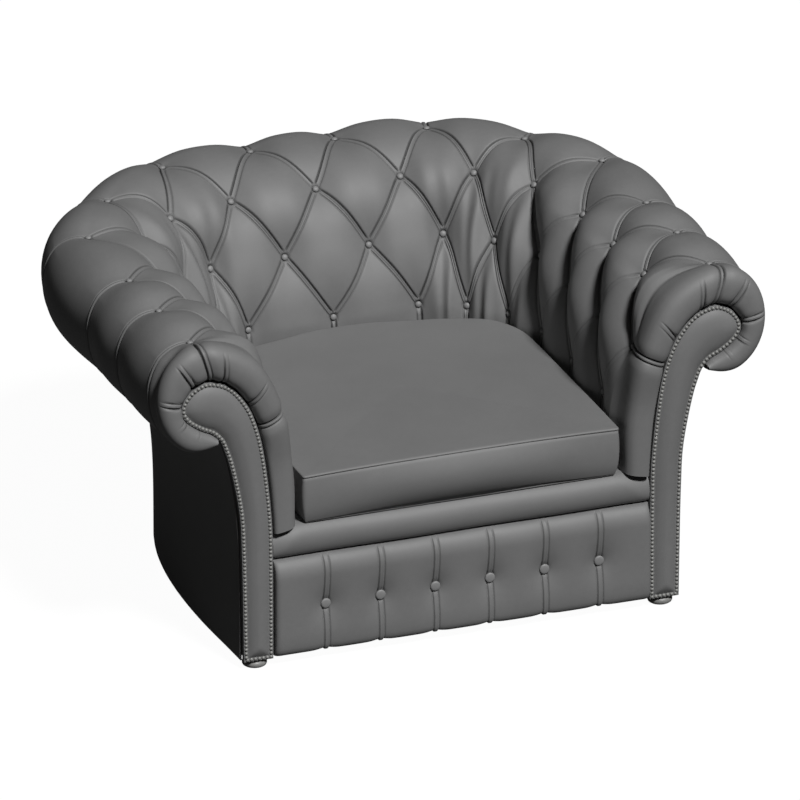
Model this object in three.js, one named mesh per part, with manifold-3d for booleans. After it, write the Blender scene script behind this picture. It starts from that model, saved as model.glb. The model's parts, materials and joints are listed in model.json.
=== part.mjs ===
// A low, wide chesterfield armchair: timber frame, serpentine springs, one deep-buttoned roll round arms and
// back, scroll-shaped arm fronts, a pleated apron and a loose seat cushion.
// Millimetres, +Z up. The chair faces -Y, and the origin is on the floor under its middle.
import * as THREE from 'three';
import { mergeVertices } from 'three/addons/utils/BufferGeometryUtils.js';
import Module from 'manifold-3d';

const wasm = await Module();
wasm.setup();

// Overall sizes
const width = 1180;
const depth = 950;
const height = 650;

// Fits: the gap between pieces that touch, and how far a cutting shape runs past what it cuts
const seatGap = 0.3;
const overrun = 5;

// Tufting: how far puffs stand over buttons and pleats, and the covered buttons
const puffHeight = 12;
const rollPuff = 9;
const pleatRise = 4;
const seatPuff = 8;
const tuftButtonRadius = 11;
const tuftButtonDome = 6;
const tuftButtonSink = 8;
const armBow = 2.7;

// The roll along arms and back, an ellipse in section under the crest row of buttons
const rollHalfWidth = 76;
const rollHalfHeight = 94;
const rollEndDegrees = 200;

// Button rows: how far each lies inside the crest row on the arms and on the back, and its share of the way
// down from the crest to the seat
const secondRowArmInset = 97;
const secondRowBackInset = 122;
const secondRowDropShare = 0.111;
const thirdRowArmInset = 151;
const thirdRowBackInset = 180;
const thirdRowDropShare = 0.39;
const fourthRowArmInset = 178;
const fourthRowBackInset = 214;
const fourthRowDropShare = 0.7125;

// Seat levels
const apronTopZ = 205;
const platformZ = 268.5;
const cushionThickness = 96;
const coverBottomZ = 16;
const frameBottomZ = 20;

// Padding behind the leather, measured across the row it belongs to
const fourthRowPadding = 45;
const thirdRowPadding = 48;

// Timber
const railThickness = 45;
const frontRailThickness = 26;
const sideRailTopZ = 240;
const topRailWidth = 92;
const topRailThickness = 42;
const topRailDrop = 107;
const topRailSetback = 68;
const padClearance = 3;
const tackRailThickness = 18;
const tackRailHeight = 30;
const tackRailRise = 8;
const slatThickness = 25;
const slatNotchRise = 5.5;
const cornerPostThickness = 50;
const cornerBlockSize = 60;
const cornerBlockHeight = 45;
const cornerBlockRise = 60;

// Arm fronts
const armFrontDepth = 45;
const ringWidth = 75;
const ringSideWidth = 48;
const bandWidth = 41;
const facingFootWidth = 57;
const facingHeadHeight = 264;
const facingStep = 30;
const facingBoardThickness = 9;
const facingRecess = 9;
const stumpInset = 6;
const nailBandWidth = 9;
const nailBandHeight = 5;
const gatherDepth = 7;
const gatherSpread = 0.16;
const ringClearance = 1.5;

// Outside panels and underside
const panelThickness = 4;
const panelTopDrop = 186;
const panelTopSetback = 38;
const flareHeight = 436;
const baseArmInset = 74.8;
const baseBackInset = 101;
const dustCoverThickness = 1.5;
const dustCoverInset = 20;

// Apron and lip
const sideJoint = 0.3;
const frontProud = 4;
const pleatPitch = 106;
const pleatHalfWidth = 8;
const pleatRidge = 2.5;
const pleatGroove = 3;
const apronButtonZ = 110;
const apronButtonRadius = 11;
const apronButtonHeight = 7;
const lipDepth = 72;
const lipBulge = 14;

// Springs
const springCount = 4;
const springPitch = 140;
const springWire = 4;
const springSwing = 24;
const springWave = 80;
const springEndZ = 194;
const springCrownZ = 237;

// Webbing and spring cover
const webbingThickness = 2;
const webbingWidth = 50;
const webbingSlack = 4;
const webbingPitch = 70;
const webbingMargin = 8;
const hessianThickness = 1.5;
const deckHalfGap = 63.5;

// Cushion
const cushionSideGap = 9.5;
const cushionBackGap = 20;
const cushionFrontSetback = 11;
const cushionCornerRadius = 14;
const cushionCrown = 5;
const cushionEdge = 4;
const coverThickness = 2;
const zipLength = 200;
const zipWidth = 12;
const zipReach = 20;

// Feet
const footRadius = 23;
const footSole = 15;
const footNeck = 12;
const footStemRadius = 4;
const footStemLength = 30;
const footStemClearance = 0.4;
const footBackSetback = 35;
const footRailInset = 26;

// Places that follow from the sizes
const frontY = -depth / 2 + frontProud;
const crestZ = height - puffHeight;
const crestHalfWidth = width / 2 - armBow - rollPuff - rollHalfWidth;
const crestBackY = depth / 2 - rollPuff - rollHalfWidth;
const padBottomZ = platformZ + seatGap;
const topRailTopZ = crestZ - topRailDrop;
const topRailBottomZ = topRailTopZ - topRailThickness;
const slatNotchZ = platformZ + tackRailRise + tackRailHeight + slatNotchRise;
const panelTopZ = crestZ - panelTopDrop;
const armFrontBackY = frontY + armFrontDepth;
const behindArmFrontY = armFrontBackY + seatGap;

// Button places on the right half, by column from the arm front to the middle of the back.
// Across is a share of the row's half width, along is a share of its run from the front to the back.
const crestPlaces = {
  acrossShares: [1, 1, 1, 0.997, 0.811, 0.515, 0.164],
  alongShares: [0.08, 0.262, 0.436, 0.684, 0.856, 0.986, 1],
};
const secondPlaces = {
  acrossShares: [1, 1, 1, 0.923, 0.726, 0.407, 0],
  alongShares: [0.208, 0.411, 0.613, 0.831, 0.954, 1, 1],
};
const thirdPlaces = {
  acrossShares: [1, 1, 1, 1, 0.85, 0.643, 0.234],
  alongShares: [0.105, 0.333, 0.555, 0.772, 0.907, 0.999, 1],
};
const fourthPlaces = {
  acrossShares: [1, 1, 1, 0.922, 0.75, 0.51, 0],
  alongShares: [0.234, 0.466, 0.695, 0.8465, 0.944, 1, 1],
};
const basePlaces = {
  acrossShares: [0.997, 1, 0.98, 0.917, 0.802, 0.561, 0.194],
  alongShares: [0.0987, 0.2987, 0.4974, 0.708, 0.862, 0.972, 1],
};

const lastColumn = 26;
const middleColumn = 13;
const stepsPerTuft = 2;

// A row of buttons as a plan curve over the columns, mirrored to the left half.
function rowCurve(halfWidth, backY, places, firstColumn) {
  const right = places.acrossShares.map(
    (share, i) => new THREE.Vector3(share * halfWidth, frontY + places.alongShares[i] * (backY - frontY), 0),
  );
  const left = right.map((p) => new THREE.Vector3(-p.x, p.y, 0)).reverse();
  const knots = firstColumn === 0 ? [...right, ...left] : [...right, ...left.slice(1)];
  const before = knots[0].clone().multiplyScalar(2).sub(knots[1]);
  const after = new THREE.Vector3(-before.x, before.y, 0);
  const curve = new THREE.CatmullRomCurve3([before, ...knots, after], false, 'catmullrom', 0.5);
  const start = firstColumn - 2;
  const span = 2 * (knots.length + 1);
  return (column) => {
    const p = curve.getPoint((column - start) / span);
    return new THREE.Vector2(p.x, p.y);
  };
}

// A row that lies inside the crest row.
function rowInside(armInset, backInset, places, firstColumn) {
  return rowCurve(crestHalfWidth - armInset, crestBackY - backInset, places, firstColumn);
}

const crestAt = rowInside(0, 0, crestPlaces, 0);
const secondAt = rowInside(secondRowArmInset, secondRowBackInset, secondPlaces, 1);
const thirdAt = rowInside(thirdRowArmInset, thirdRowBackInset, thirdPlaces, 0);
const fourthAt = rowInside(fourthRowArmInset, fourthRowBackInset, fourthPlaces, 1);
const baseAt = rowInside(baseArmInset, baseBackInset, basePlaces, 0);

const insideHeight = crestZ - padBottomZ;
const secondZ = crestZ - secondRowDropShare * insideHeight;
const thirdZ = crestZ - thirdRowDropShare * insideHeight;
const fourthZ = crestZ - fourthRowDropShare * insideHeight;

// The way out of the seat at a column, from the lowest button row towards the crest.
function outwardAt(column) {
  return crestAt(column).sub(fourthAt(column)).normalize();
}

function placed(plan, outward, offset, z) {
  return new THREE.Vector3(plan.x + outward.x * offset, plan.y + outward.y * offset, z);
}

// The column where the crest row passes a given Y on the straight part of the arm.
function armColumnAt(y) {
  const first = crestAt(0).y;
  const slope = (crestAt(2).y - first) / 2;
  return (y - first) / slope;
}

// A small step in columns that opens a gap between two pieces which meet at a column. The padding reaches inside
// the lowest button row, where the corner turns tighter, so the step is larger by the inner turn.
const innerTurn = 1.8;

function columnsFor(distance, column) {
  return (innerTurn * distance) / fourthAt(column).distanceTo(fourthAt(column + 1));
}

// Rows of the tufted surface, counted upwards: -1 at the seat, 0 to 3 the button rows, then round the roll.
const crestRow = 3;
const rollRows = 4.3;
const rollRowDegrees = rollEndDegrees / rollRows;

function rollPoint(column, row) {
  const angle = THREE.MathUtils.degToRad(90 - (row - crestRow) * rollRowDegrees);
  const offset = Math.cos(angle) * rollHalfWidth;
  const z = crestZ - rollHalfHeight + Math.sin(angle) * rollHalfHeight;
  return placed(crestAt(column), outwardAt(column), offset, z);
}

function buttonLevelPoint(column, row) {
  if (row >= crestRow) return rollPoint(column, row);
  const outward = outwardAt(column);
  const seat = placed(fourthAt(column), outward, -padClearance, padBottomZ);
  const fourth = placed(fourthAt(column), outward, 0, fourthZ);
  const third = placed(thirdAt(column), outward, 0, thirdZ);
  const second = placed(secondAt(column), outward, 0, secondZ);
  const crest = placed(crestAt(column), outward, 0, crestZ);
  const overRoll = rollPoint(column, crestRow + 1);
  const below = seat.clone().multiplyScalar(2).sub(fourth);
  const levels = [below, seat, fourth, third, second, crest, overRoll];
  const curve = new THREE.CatmullRomCurve3(levels, false, 'catmullrom', 0.5);
  return curve.getPoint((row + 2) / 6);
}

// How far the leather stands over the button level. Pleats run along the diagonals between buttons,
// straight down from the lowest row to the seat, and straight out over the roll from the crest row.
const frontPuffSpeed = 2.2;

function puffAt(column, row) {
  if (row >= 0 && row <= crestRow) {
    const inField = Math.max(0, Math.min(lastColumn, column));
    const p = (Math.PI * (inField + row - 1)) / 2;
    const q = (Math.PI * (inField - row - 1)) / 2;
    const crown = Math.abs(Math.sin(p) * Math.sin(q));
    const pleat = 1 - Math.abs(Math.cos(p) * Math.cos(q));
    return pleatRise * pleat + (puffHeight - pleatRise) * Math.sqrt(crown);
  }
  const below = row < 0;
  const ahead = Math.max(-1, Math.min(column, 0) * frontPuffSpeed);
  const along = (Math.PI * (column < 0 ? ahead : column)) / 2;
  const wave = below ? Math.cos(column < 0 ? 0 : along) : Math.sin(along);
  const crown = wave * wave;
  const away = Math.min(1, below ? -row : row - crestRow);
  const pleat = 1 - (1 - crown) * (1 - away);
  const full = below ? seatPuff : rollPuff;
  const top = puffHeight + (full - puffHeight) * away;
  return pleatRise * pleat + (top - pleatRise) * crown;
}

const probe = 0.02;

function outwardNormal(column, row) {
  const low = Math.max(row - probe, -1);
  const alongRow = buttonLevelPoint(column + probe, row).sub(buttonLevelPoint(column - probe, row));
  const upColumn = buttonLevelPoint(column, row + probe).sub(buttonLevelPoint(column, low));
  return upColumn.cross(alongRow).normalize();
}

function leatherPoint(column, row) {
  const normal = outwardNormal(column, row);
  if (row <= -1) normal.setZ(0).normalize();
  return buttonLevelPoint(column, row).addScaledVector(normal, puffAt(column, row));
}

// Solids

function toGeometry(points, triangles) {
  const geometry = new THREE.BufferGeometry();
  const places = points.flatMap((p) => [p.x, p.y, p.z]);
  geometry.setAttribute('position', new THREE.Float32BufferAttribute(places, 3));
  geometry.setIndex(triangles);
  return geometry;
}

function signedVolume(points, triangles) {
  let volume = 0;
  for (let i = 0; i < triangles.length; i += 3) {
    const [a, b, c] = [points[triangles[i]], points[triangles[i + 1]], points[triangles[i + 2]]];
    volume += a.dot(new THREE.Vector3().crossVectors(b, c));
  }
  return volume;
}

function facingOut(points, triangles) {
  if (signedVolume(points, triangles) < 0) triangles.reverse();
  return toGeometry(points, triangles);
}

// Triangles that close a ring of points, wound the way the ring runs.
function capOf(ring) {
  const normal = new THREE.Vector3();
  ring.forEach((p, i) => normal.add(new THREE.Vector3().crossVectors(p, ring[(i + 1) % ring.length])));
  normal.normalize();
  const helper = Math.abs(normal.z) > Math.SQRT1_2 ? new THREE.Vector3(1, 0, 0) : new THREE.Vector3(0, 0, 1);
  const across = new THREE.Vector3().crossVectors(helper, normal).normalize();
  const up = new THREE.Vector3().crossVectors(normal, across);
  const flat = ring.map((p) => new THREE.Vector2(p.dot(across), p.dot(up)));
  return THREE.ShapeUtils.triangulateShape(flat, []).flatMap(([a, b, c]) => {
    const turn = flat[b].clone().sub(flat[a]).cross(flat[c].clone().sub(flat[a]));
    return turn > 0 ? [a, b, c] : [a, c, b];
  });
}

// A solid through rings of equal point counts. A closed loft joins its last ring to its first and needs no caps.
function loft(rings, { closed = false, otherDiagonal = () => false } = {}) {
  const count = rings[0].length;
  const triangles = [];
  const joins = closed ? rings.length : rings.length - 1;
  for (let i = 0; i < joins; i += 1) {
    for (let j = 0; j < count; j += 1) {
      const a = i * count + j;
      const b = i * count + ((j + 1) % count);
      const c = ((i + 1) % rings.length) * count + j;
      const d = ((i + 1) % rings.length) * count + ((j + 1) % count);
      if (otherDiagonal(i, j)) triangles.push(a, b, c, b, d, c);
      else triangles.push(a, b, d, a, d, c);
    }
  }
  if (!closed) {
    const last = (rings.length - 1) * count;
    capOf(rings[0]).forEach((v, i, cap) => triangles.push(cap[i - (i % 3) + (2 - (i % 3))]));
    capOf(rings.at(-1)).forEach((v) => triangles.push(last + v));
  }
  return facingOut(rings.flat(), triangles);
}

function toSolid(geometry) {
  const bare = new THREE.BufferGeometry();
  bare.setAttribute('position', geometry.getAttribute('position'));
  if (geometry.index) bare.setIndex(geometry.index);
  const merged = mergeVertices(bare, 1e-4);
  return new wasm.Manifold(
    new wasm.Mesh({
      numProp: 3,
      vertProperties: new Float32Array(merged.attributes.position.array),
      triVerts: new Uint32Array(merged.index.array),
    }),
  );
}

function fromSolid(solid) {
  const { vertProperties, triVerts } = solid.getMesh();
  const geometry = new THREE.BufferGeometry();
  geometry.setAttribute('position', new THREE.BufferAttribute(vertProperties, 3));
  geometry.setIndex(new THREE.BufferAttribute(triVerts, 1));
  return geometry;
}

function columnsBetween(first, last, step) {
  const columns = [first];
  for (let c = Math.ceil((first + step / 4) / step) * step; c < last - step / 4; c += step) columns.push(c);
  columns.push(last);
  return columns;
}

// A board or band swept along the columns, its section given as corners around the section plane.
function sweep(first, last, step, section) {
  return loft(columnsBetween(first, last, step).map(section));
}

function flattenTo(ring, y) {
  return ring.map((p) => new THREE.Vector3(p.x, y, p.z));
}

// Where the arms meet the back
const armEndColumn = 6.5;
const cornerColumn = 8;
const armSlatColumn = 3;
const backSlatColumn = 11.5;
const cornerGap = columnsFor(cornerPostThickness / 2 + seatGap, cornerColumn);
const halfJoint = columnsFor(seatGap, cornerColumn) / 2;
const armEndJoint = columnsFor(seatGap, armEndColumn);
const frontColumn = armColumnAt(behindArmFrontY);

// Tufted pads
const rowSteps = [];
for (let i = 0; i <= crestRow * stepsPerTuft; i += 1) rowSteps.push(i / stepsPerTuft);
const padRows = [-1, ...rowSteps, ...[0.25, 0.5, 0.75, 1].map((share) => crestRow + share * rollRows)];

function padSection(column) {
  const outward = outwardAt(column);
  const leather = padRows.map((row) => leatherPoint(column, row));
  const crest = crestAt(column);
  const railIn = -topRailSetback - padClearance;
  const railOut = topRailWidth - topRailSetback + padClearance;
  const underRail = topRailBottomZ - padClearance;
  const overRail = topRailTopZ + padClearance;
  return [
    ...leather,
    placed(crest, outward, railIn + panelTopSetback + padClearance, underRail),
    placed(crest, outward, railOut, underRail),
    placed(crest, outward, railOut, overRail),
    placed(crest, outward, railIn, overRail),
    placed(thirdAt(column), outward, thirdRowPadding, thirdZ),
    placed(fourthAt(column), outward, fourthRowPadding, fourthZ),
    placed(fourthAt(column), outward, fourthRowPadding - padClearance, padBottomZ),
  ];
}

function pleatDiagonal(columns) {
  return (i, j) => {
    const row = padRows[j] ?? 0;
    const cell = Math.floor((columns[i] + columns[i + 1]) / 2);
    return (cell + Math.floor(row + probe)) % 2 !== 0;
  };
}

const tuftButtonSides = 6;

// A covered button at a button place: a low dome on a short shank sunk in the padding.
function tuftButton(column, row) {
  const dome = [
    [0, -tuftButtonSink],
    [tuftButtonRadius, -tuftButtonSink],
    [tuftButtonRadius * 0.85, tuftButtonDome * 0.6],
    [0, tuftButtonDome],
  ].map(([radius, rise]) => new THREE.Vector2(radius, rise));
  const geometry = new THREE.LatheGeometry(dome, tuftButtonSides);
  const turn = new THREE.Quaternion().setFromUnitVectors(new THREE.Vector3(0, 1, 0), outwardNormal(column, row));
  const place = new THREE.Matrix4().compose(buttonLevelPoint(column, row), turn, new THREE.Vector3(1, 1, 1));
  return geometry.applyMatrix4(place);
}

function withButtons(pad, first, last) {
  let solid = toSolid(pad);
  for (let row = 0; row <= crestRow; row += 1) {
    for (let column = (row + 1) % 2; column <= lastColumn; column += 2) {
      if (column > first && column < last) solid = solid.add(toSolid(tuftButton(column, row)));
    }
  }
  return fromSolid(solid);
}

function armPad() {
  const columns = columnsBetween(frontColumn, armEndColumn, 1 / stepsPerTuft);
  const rings = columns.map((column) => padSection(column));
  rings[0] = flattenTo(rings[0], behindArmFrontY);
  return withButtons(loft(rings, { otherDiagonal: pleatDiagonal(columns) }), frontColumn, armEndColumn);
}

function backPad() {
  const first = armEndColumn + armEndJoint;
  const columns = columnsBetween(first, lastColumn - first, 1 / stepsPerTuft);
  const rings = columns.map((column) => padSection(column));
  return withButtons(loft(rings, { otherDiagonal: pleatDiagonal(columns) }), first, lastColumn - first);
}

// Facing outline, from its inner foot round the head to its outer foot. Across is a share of the head's reach,
// and up is a share of the leg's height for the two sides of the leg, and of the head's height for the head.
const facingInnerX = crestHalfWidth - fourthRowArmInset + bandWidth;
const facingTopZ = height - ringWidth;
const facingReach = width / 2 - ringSideWidth - facingInnerX;
const facingLegHeight = facingTopZ - facingHeadHeight - coverBottomZ;
const facingInnerShares = [
  [0, 0], [0.003, 0.625], [0.015, 0.929],
];
const facingHeadShares = [
  [0.1, 0.413], [0.172, 0.621], [0.27, 0.78], [0.433, 0.924], [0.58, 0.983], [0.741, 1], [0.89, 0.953],
  [0.985, 0.873], [1, 0.799], [0.933, 0.725], [0.785, 0.654], [0.663, 0.614], [0.572, 0.547], [0.525, 0.47],
  [0.477, 0.369],
];
const facingOuterShares = [
  [0.369, 0.999], [0.345, 0.73], [facingFootWidth / facingReach, 0],
];

function facingPoint(across, z) {
  return new THREE.Vector3(facingInnerX + across * facingReach, z, 0);
}

const onLeg = ([across, up]) => facingPoint(across, coverBottomZ + up * facingLegHeight);
const onHead = ([across, up]) => facingPoint(across, facingTopZ - (1 - up) * facingHeadHeight);
const facingKnots = [
  ...facingInnerShares.map(onLeg),
  ...facingHeadShares.map(onHead),
  ...facingOuterShares.map(onLeg),
];
const facingCurve = new THREE.CatmullRomCurve3(facingKnots, false, 'centripetal');
const facingSteps = Math.round(facingCurve.getLength() / facingStep);
const facingOutline = facingCurve.getSpacedPoints(facingSteps).map((p) => new THREE.Vector2(p.x, p.y));

// An outline moved inwards, or outwards for a negative distance.
function insetOutline(outline, distance) {
  const count = outline.length;
  const edges = outline.map((p, i) => outline[(i + 1) % count].clone().sub(p).normalize());
  const area = THREE.ShapeUtils.area(outline);
  return outline.map((p, i) => {
    const before = edges[(i + count - 1) % count];
    const after = edges[i];
    const along = before.clone().add(after).normalize();
    const inwards = new THREE.Vector2(-along.y, along.x).multiplyScalar(Math.sign(area));
    const widen = Math.max(Math.SQRT1_2, along.dot(after));
    return p.clone().addScaledVector(inwards, distance / widen);
  });
}

// A flat board standing across the chair, from its front face back.
function uprightBoard(outline, front, thickness) {
  const shape = new THREE.Shape(outline);
  const geometry = new THREE.ExtrudeGeometry(shape, { depth: thickness, bevelEnabled: false });
  geometry.rotateX(Math.PI / 2);
  geometry.translate(0, front + thickness, 0);
  return geometry;
}

const facingBoardFront = frontY + facingRecess;
const stumpFront = facingBoardFront + facingBoardThickness + seatGap;

function facingBoard() {
  return uprightBoard(facingOutline, facingBoardFront, facingBoardThickness);
}

const facingPanelRise = facingRecess - seatGap;

// The padded panel: rings from its back edge forwards, closing in over the rounded face.
function facingPanel() {
  const back = facingBoardFront - seatGap;
  const faces = [
    [0, 0],
    [0, 0.45],
    [0.25, 0.8],
    [0.75, 1],
  ];
  const rings = faces.map(([inShare, riseShare]) =>
    insetOutline(facingOutline, nailBandWidth + seatGap + inShare * nailBandWidth).map(
      (p) => new THREE.Vector3(p.x, back - riseShare * facingPanelRise, p.y),
    ),
  );
  return loft(rings);
}

// The nail strip: a low half-round band all round the facing's edge.
function nailStrip() {
  const back = facingBoardFront - seatGap;
  const section = [
    [0.04, 0],
    [0.12, 0.7],
    [0.5, 1],
    [0.88, 0.7],
    [0.96, 0],
  ];
  const lines = section.map(([inShare, riseShare]) =>
    insetOutline(facingOutline, inShare * nailBandWidth).map(
      (p) => new THREE.Vector3(p.x, back - riseShare * nailBandHeight, p.y),
    ),
  );
  const rings = facingOutline.map((p, i) => lines.map((line) => line[i]));
  return loft(rings, { closed: true });
}

const footSides = 14;

function footSolid(x, y) {
  const profile = [
    [0, 0], [footSole, 0], [footRadius * 0.93, 0.12], [footRadius, 0.35], [footRadius * 0.9, 0.58],
    [footNeck, 0.76], [footNeck, 1],
  ].map(([radius, share]) => new THREE.Vector2(radius, share * (frameBottomZ - seatGap)));
  profile.push(new THREE.Vector2(footStemRadius, frameBottomZ - seatGap));
  profile.push(new THREE.Vector2(footStemRadius, frameBottomZ + footStemLength));
  profile.push(new THREE.Vector2(0, frameBottomZ + footStemLength));
  const geometry = new THREE.LatheGeometry(profile, footSides);
  geometry.rotateX(Math.PI / 2);
  geometry.translate(x, y, 0);
  return geometry;
}

function roundCut(x, y, radius, bottom, top) {
  const geometry = new THREE.CylinderGeometry(radius, radius, top - bottom, footSides);
  geometry.rotateX(Math.PI / 2);
  geometry.translate(x, y, (top + bottom) / 2);
  return toSolid(geometry);
}

const footBore = footStemRadius + footStemClearance;
const footBoreTop = frameBottomZ + footStemLength + padClearance;
const frontFoot = new THREE.Vector2(
  facingInnerX + facingFootWidth / 2,
  (stumpFront + armFrontBackY) / 2,
);

function frontStump() {
  const outline = insetOutline(facingOutline, stumpInset).map((p) => {
    return new THREE.Vector2(p.x, p.y < coverBottomZ + 2 * stumpInset ? frameBottomZ : p.y);
  });
  const board = uprightBoard(outline, stumpFront, armFrontBackY - stumpFront);
  const bore = roundCut(frontFoot.x, frontFoot.y, footBore, frameBottomZ - overrun, footBoreTop);
  return fromSolid(toSolid(board).subtract(bore));
}

// Arm front: the leather ring round the facing's head and the band below it, with gathers where it is pleated.
// Each row of the ring is led to its own share of the way round the facing.
const ringRows = [-1, 0, 1, 2, 3, 4, 5, 6, crestRow + rollRows];
const ringFollowShares = [0, 0.2, 0.385, 0.53, 0.657, 0.735, 0.8, 0.88, 1];
const gatherRows = [1, 1.62, 2.6, 3, 3.8, 4.85, 5.7, 6.4];

function ringStartShare() {
  const z = padBottomZ;
  let share = 0;
  while (facingCurve.getPointAt(share).y < z) share += 1 / (facingSteps * 4);
  return share;
}

function ringEndShare() {
  let share = 1;
  while (facingCurve.getPointAt(share).y < panelTopZ + seatGap * 4) share -= 1 / (facingSteps * 4);
  return share;
}

const ringShares = [ringStartShare(), ringEndShare()];
const ringOutline = insetOutline(facingCurve.getSpacedPoints(facingSteps * 2), -ringClearance);

function besideFacing(row) {
  let i = 1;
  while (i < ringRows.length - 1 && ringRows[i] < row) i += 1;
  const t = (row - ringRows[i - 1]) / (ringRows[i] - ringRows[i - 1]);
  const follow = ringFollowShares[i - 1] + t * (ringFollowShares[i] - ringFollowShares[i - 1]);
  const share = ringShares[0] + follow * (ringShares[1] - ringShares[0]);
  const place = share * facingSteps * 2;
  const low = Math.min(Math.floor(place), facingSteps * 2 - 1);
  return ringOutline[low].clone().lerp(ringOutline[low + 1], place - low);
}

function gatherAt(row) {
  const nearest = Math.min(...gatherRows.map((g) => Math.abs(g - row)));
  return gatherDepth * Math.max(0, 1 - nearest / gatherSpread);
}

// Share of the way from the outer edge to the facing, and share of the arm front's depth, along the rounded face.
const ringFaceShares = [
  [0, 1],
  [0, 0.55],
  [0.09, 0.2],
  [0.3, 0.03],
  [0.62, 0],
  [0.9, 0.1],
  [1, 0.2],
];

function armFront() {
  const rows = [];
  ringRows.slice(1).forEach((high, i) => {
    const low = ringRows[i];
    for (const share of [0, 0.25, 0.5, 0.75]) rows.push(low + share * (high - low));
  });
  rows.push(ringRows.at(-1));
  gatherRows.forEach((g) => rows.push(g - gatherSpread, g, g + gatherSpread));
  rows.sort((a, b) => a - b);
  const sorted = rows.filter((row, i) => i === 0 || row - rows[i - 1] > gatherSpread / 3);
  sorted[sorted.length - 1] = ringRows.at(-1);
  const rings = sorted.map((row) => {
    const outer = leatherPoint(frontColumn, row);
    const inner = besideFacing(row);
    const face = ringFaceShares.map(([inShare, backShare], k) => {
      const gather = k > 1 && k < ringFaceShares.length - 1 ? gatherAt(row) : 0;
      return new THREE.Vector3(
        outer.x + inShare * (inner.x - outer.x),
        frontY + backShare * armFrontDepth + gather,
        outer.z + inShare * (inner.y - outer.z),
      );
    });
    return [...face, new THREE.Vector3(inner.x, armFrontBackY, inner.y)];
  });
  return loft(rings);
}

// Timber frame

function topRailSection(column) {
  const [crest, outward] = [crestAt(column), outwardAt(column)];
  return [
    placed(crest, outward, -topRailSetback, topRailBottomZ),
    placed(crest, outward, topRailWidth - topRailSetback, topRailBottomZ),
    placed(crest, outward, topRailWidth - topRailSetback, topRailTopZ),
    placed(crest, outward, -topRailSetback, topRailTopZ),
  ];
}

// A sweep that starts at the back of the arm front.
function armSweep(last, step, section) {
  const rings = columnsBetween(frontColumn, last, step).map(section);
  rings[0] = flattenTo(rings[0], behindArmFrontY);
  return loft(rings);
}

function armTopRail() {
  return armSweep(armEndColumn, 1, topRailSection);
}

function backTopRail() {
  const first = armEndColumn + armEndJoint;
  return sweep(first, lastColumn - first, 0.5, topRailSection);
}

// How far the base line lies outside the lowest button row at a column.
function baseOffset(column) {
  return baseAt(column).sub(fourthAt(column)).dot(outwardAt(column));
}

const panelToTimber = 2;

function seatRailSection(column) {
  const [fourth, outward] = [fourthAt(column), outwardAt(column)];
  const outer = baseOffset(column) - panelThickness - panelToTimber;
  const inner = outer - railThickness;
  return [
    placed(fourth, outward, inner, frameBottomZ),
    placed(fourth, outward, outer, frameBottomZ),
    placed(fourth, outward, outer, sideRailTopZ),
    placed(fourth, outward, inner, sideRailTopZ),
  ];
}

function sideSeatRail() {
  return armSweep(cornerColumn - cornerGap, 1, seatRailSection);
}

function backSeatRail() {
  return sweep(cornerColumn + cornerGap, lastColumn - cornerColumn - cornerGap, 0.5, seatRailSection);
}

function tackRailSection(column) {
  const [fourth, outward] = [fourthAt(column), outwardAt(column)];
  const inner = fourthRowPadding + seatGap * 2;
  const bottom = platformZ + tackRailRise;
  return [
    placed(fourth, outward, inner, bottom),
    placed(fourth, outward, inner + tackRailThickness, bottom),
    placed(fourth, outward, inner + tackRailThickness, bottom + tackRailHeight),
    placed(fourth, outward, inner, bottom + tackRailHeight),
  ];
}

function armTackRail() {
  return armSweep(cornerColumn - halfJoint, 1, tackRailSection);
}

function backTackRail() {
  return sweep(cornerColumn + halfJoint, lastColumn - cornerColumn - halfJoint, 0.5, tackRailSection);
}

const flarePower = 4;

// How far the outside panel has flared out from the base line at a height, as a share of its full flare.
function flareShare(z) {
  const rise = 1 - (panelTopZ - z) / flareHeight;
  return Math.max(0, Math.min(1, rise)) ** flarePower;
}

const panelLevelShares = [0, 0.4, 0.62, 0.78, 0.9, 1];
const panelLevels = panelLevelShares.map((share) => coverBottomZ + share * (panelTopZ - coverBottomZ));

function panelOffset(column, z) {
  const base = baseOffset(column);
  const crest = crestAt(column).sub(fourthAt(column)).dot(outwardAt(column));
  return base + flareShare(z) * (crest - panelTopSetback - base);
}

// How far out a swept line lies, seen from the section plane of a column, over the width of an upright there.
function reachesNear(column, halfWidth, offsetAt) {
  const [fourth, outward] = [fourthAt(column), outwardAt(column)];
  const sideways = new THREE.Vector2(-outward.y, outward.x);
  const reaches = [];
  for (let near = column - 1; near <= column + 1; near += probe) {
    const p = placed(fourthAt(near), outwardAt(near), offsetAt(near), 0);
    const away = new THREE.Vector2(p.x, p.y).sub(fourth);
    if (Math.abs(away.dot(sideways)) <= halfWidth + padClearance) reaches.push(away.dot(outward));
  }
  return reaches;
}

// Webbing: bands behind the padding, tacked to the inner edges of the posts and slats.
function webbingOffset(column, z) {
  const thirdOffset = thirdAt(column).sub(fourthAt(column)).dot(outwardAt(column)) + thirdRowPadding;
  const share = Math.max(0, (z - fourthZ) / (thirdZ - fourthZ));
  return fourthRowPadding + share * (thirdOffset - fourthRowPadding) + webbingSlack;
}

// A band bends where the padding behind it does, at the lowest button row, or lies flat.
function webbingSection(middleZ) {
  const [low, high] = [middleZ - webbingWidth / 2, middleZ + webbingWidth / 2];
  const levels = [low, fourthZ > low && fourthZ < high ? fourthZ : middleZ, high];
  return (column) => {
    const [fourth, outward] = [fourthAt(column), outwardAt(column)];
    const edge = (extra) => levels.map((z) => placed(fourth, outward, webbingOffset(column, z) + extra, z));
    return [...edge(0), ...edge(webbingThickness).reverse()];
  };
}

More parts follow.
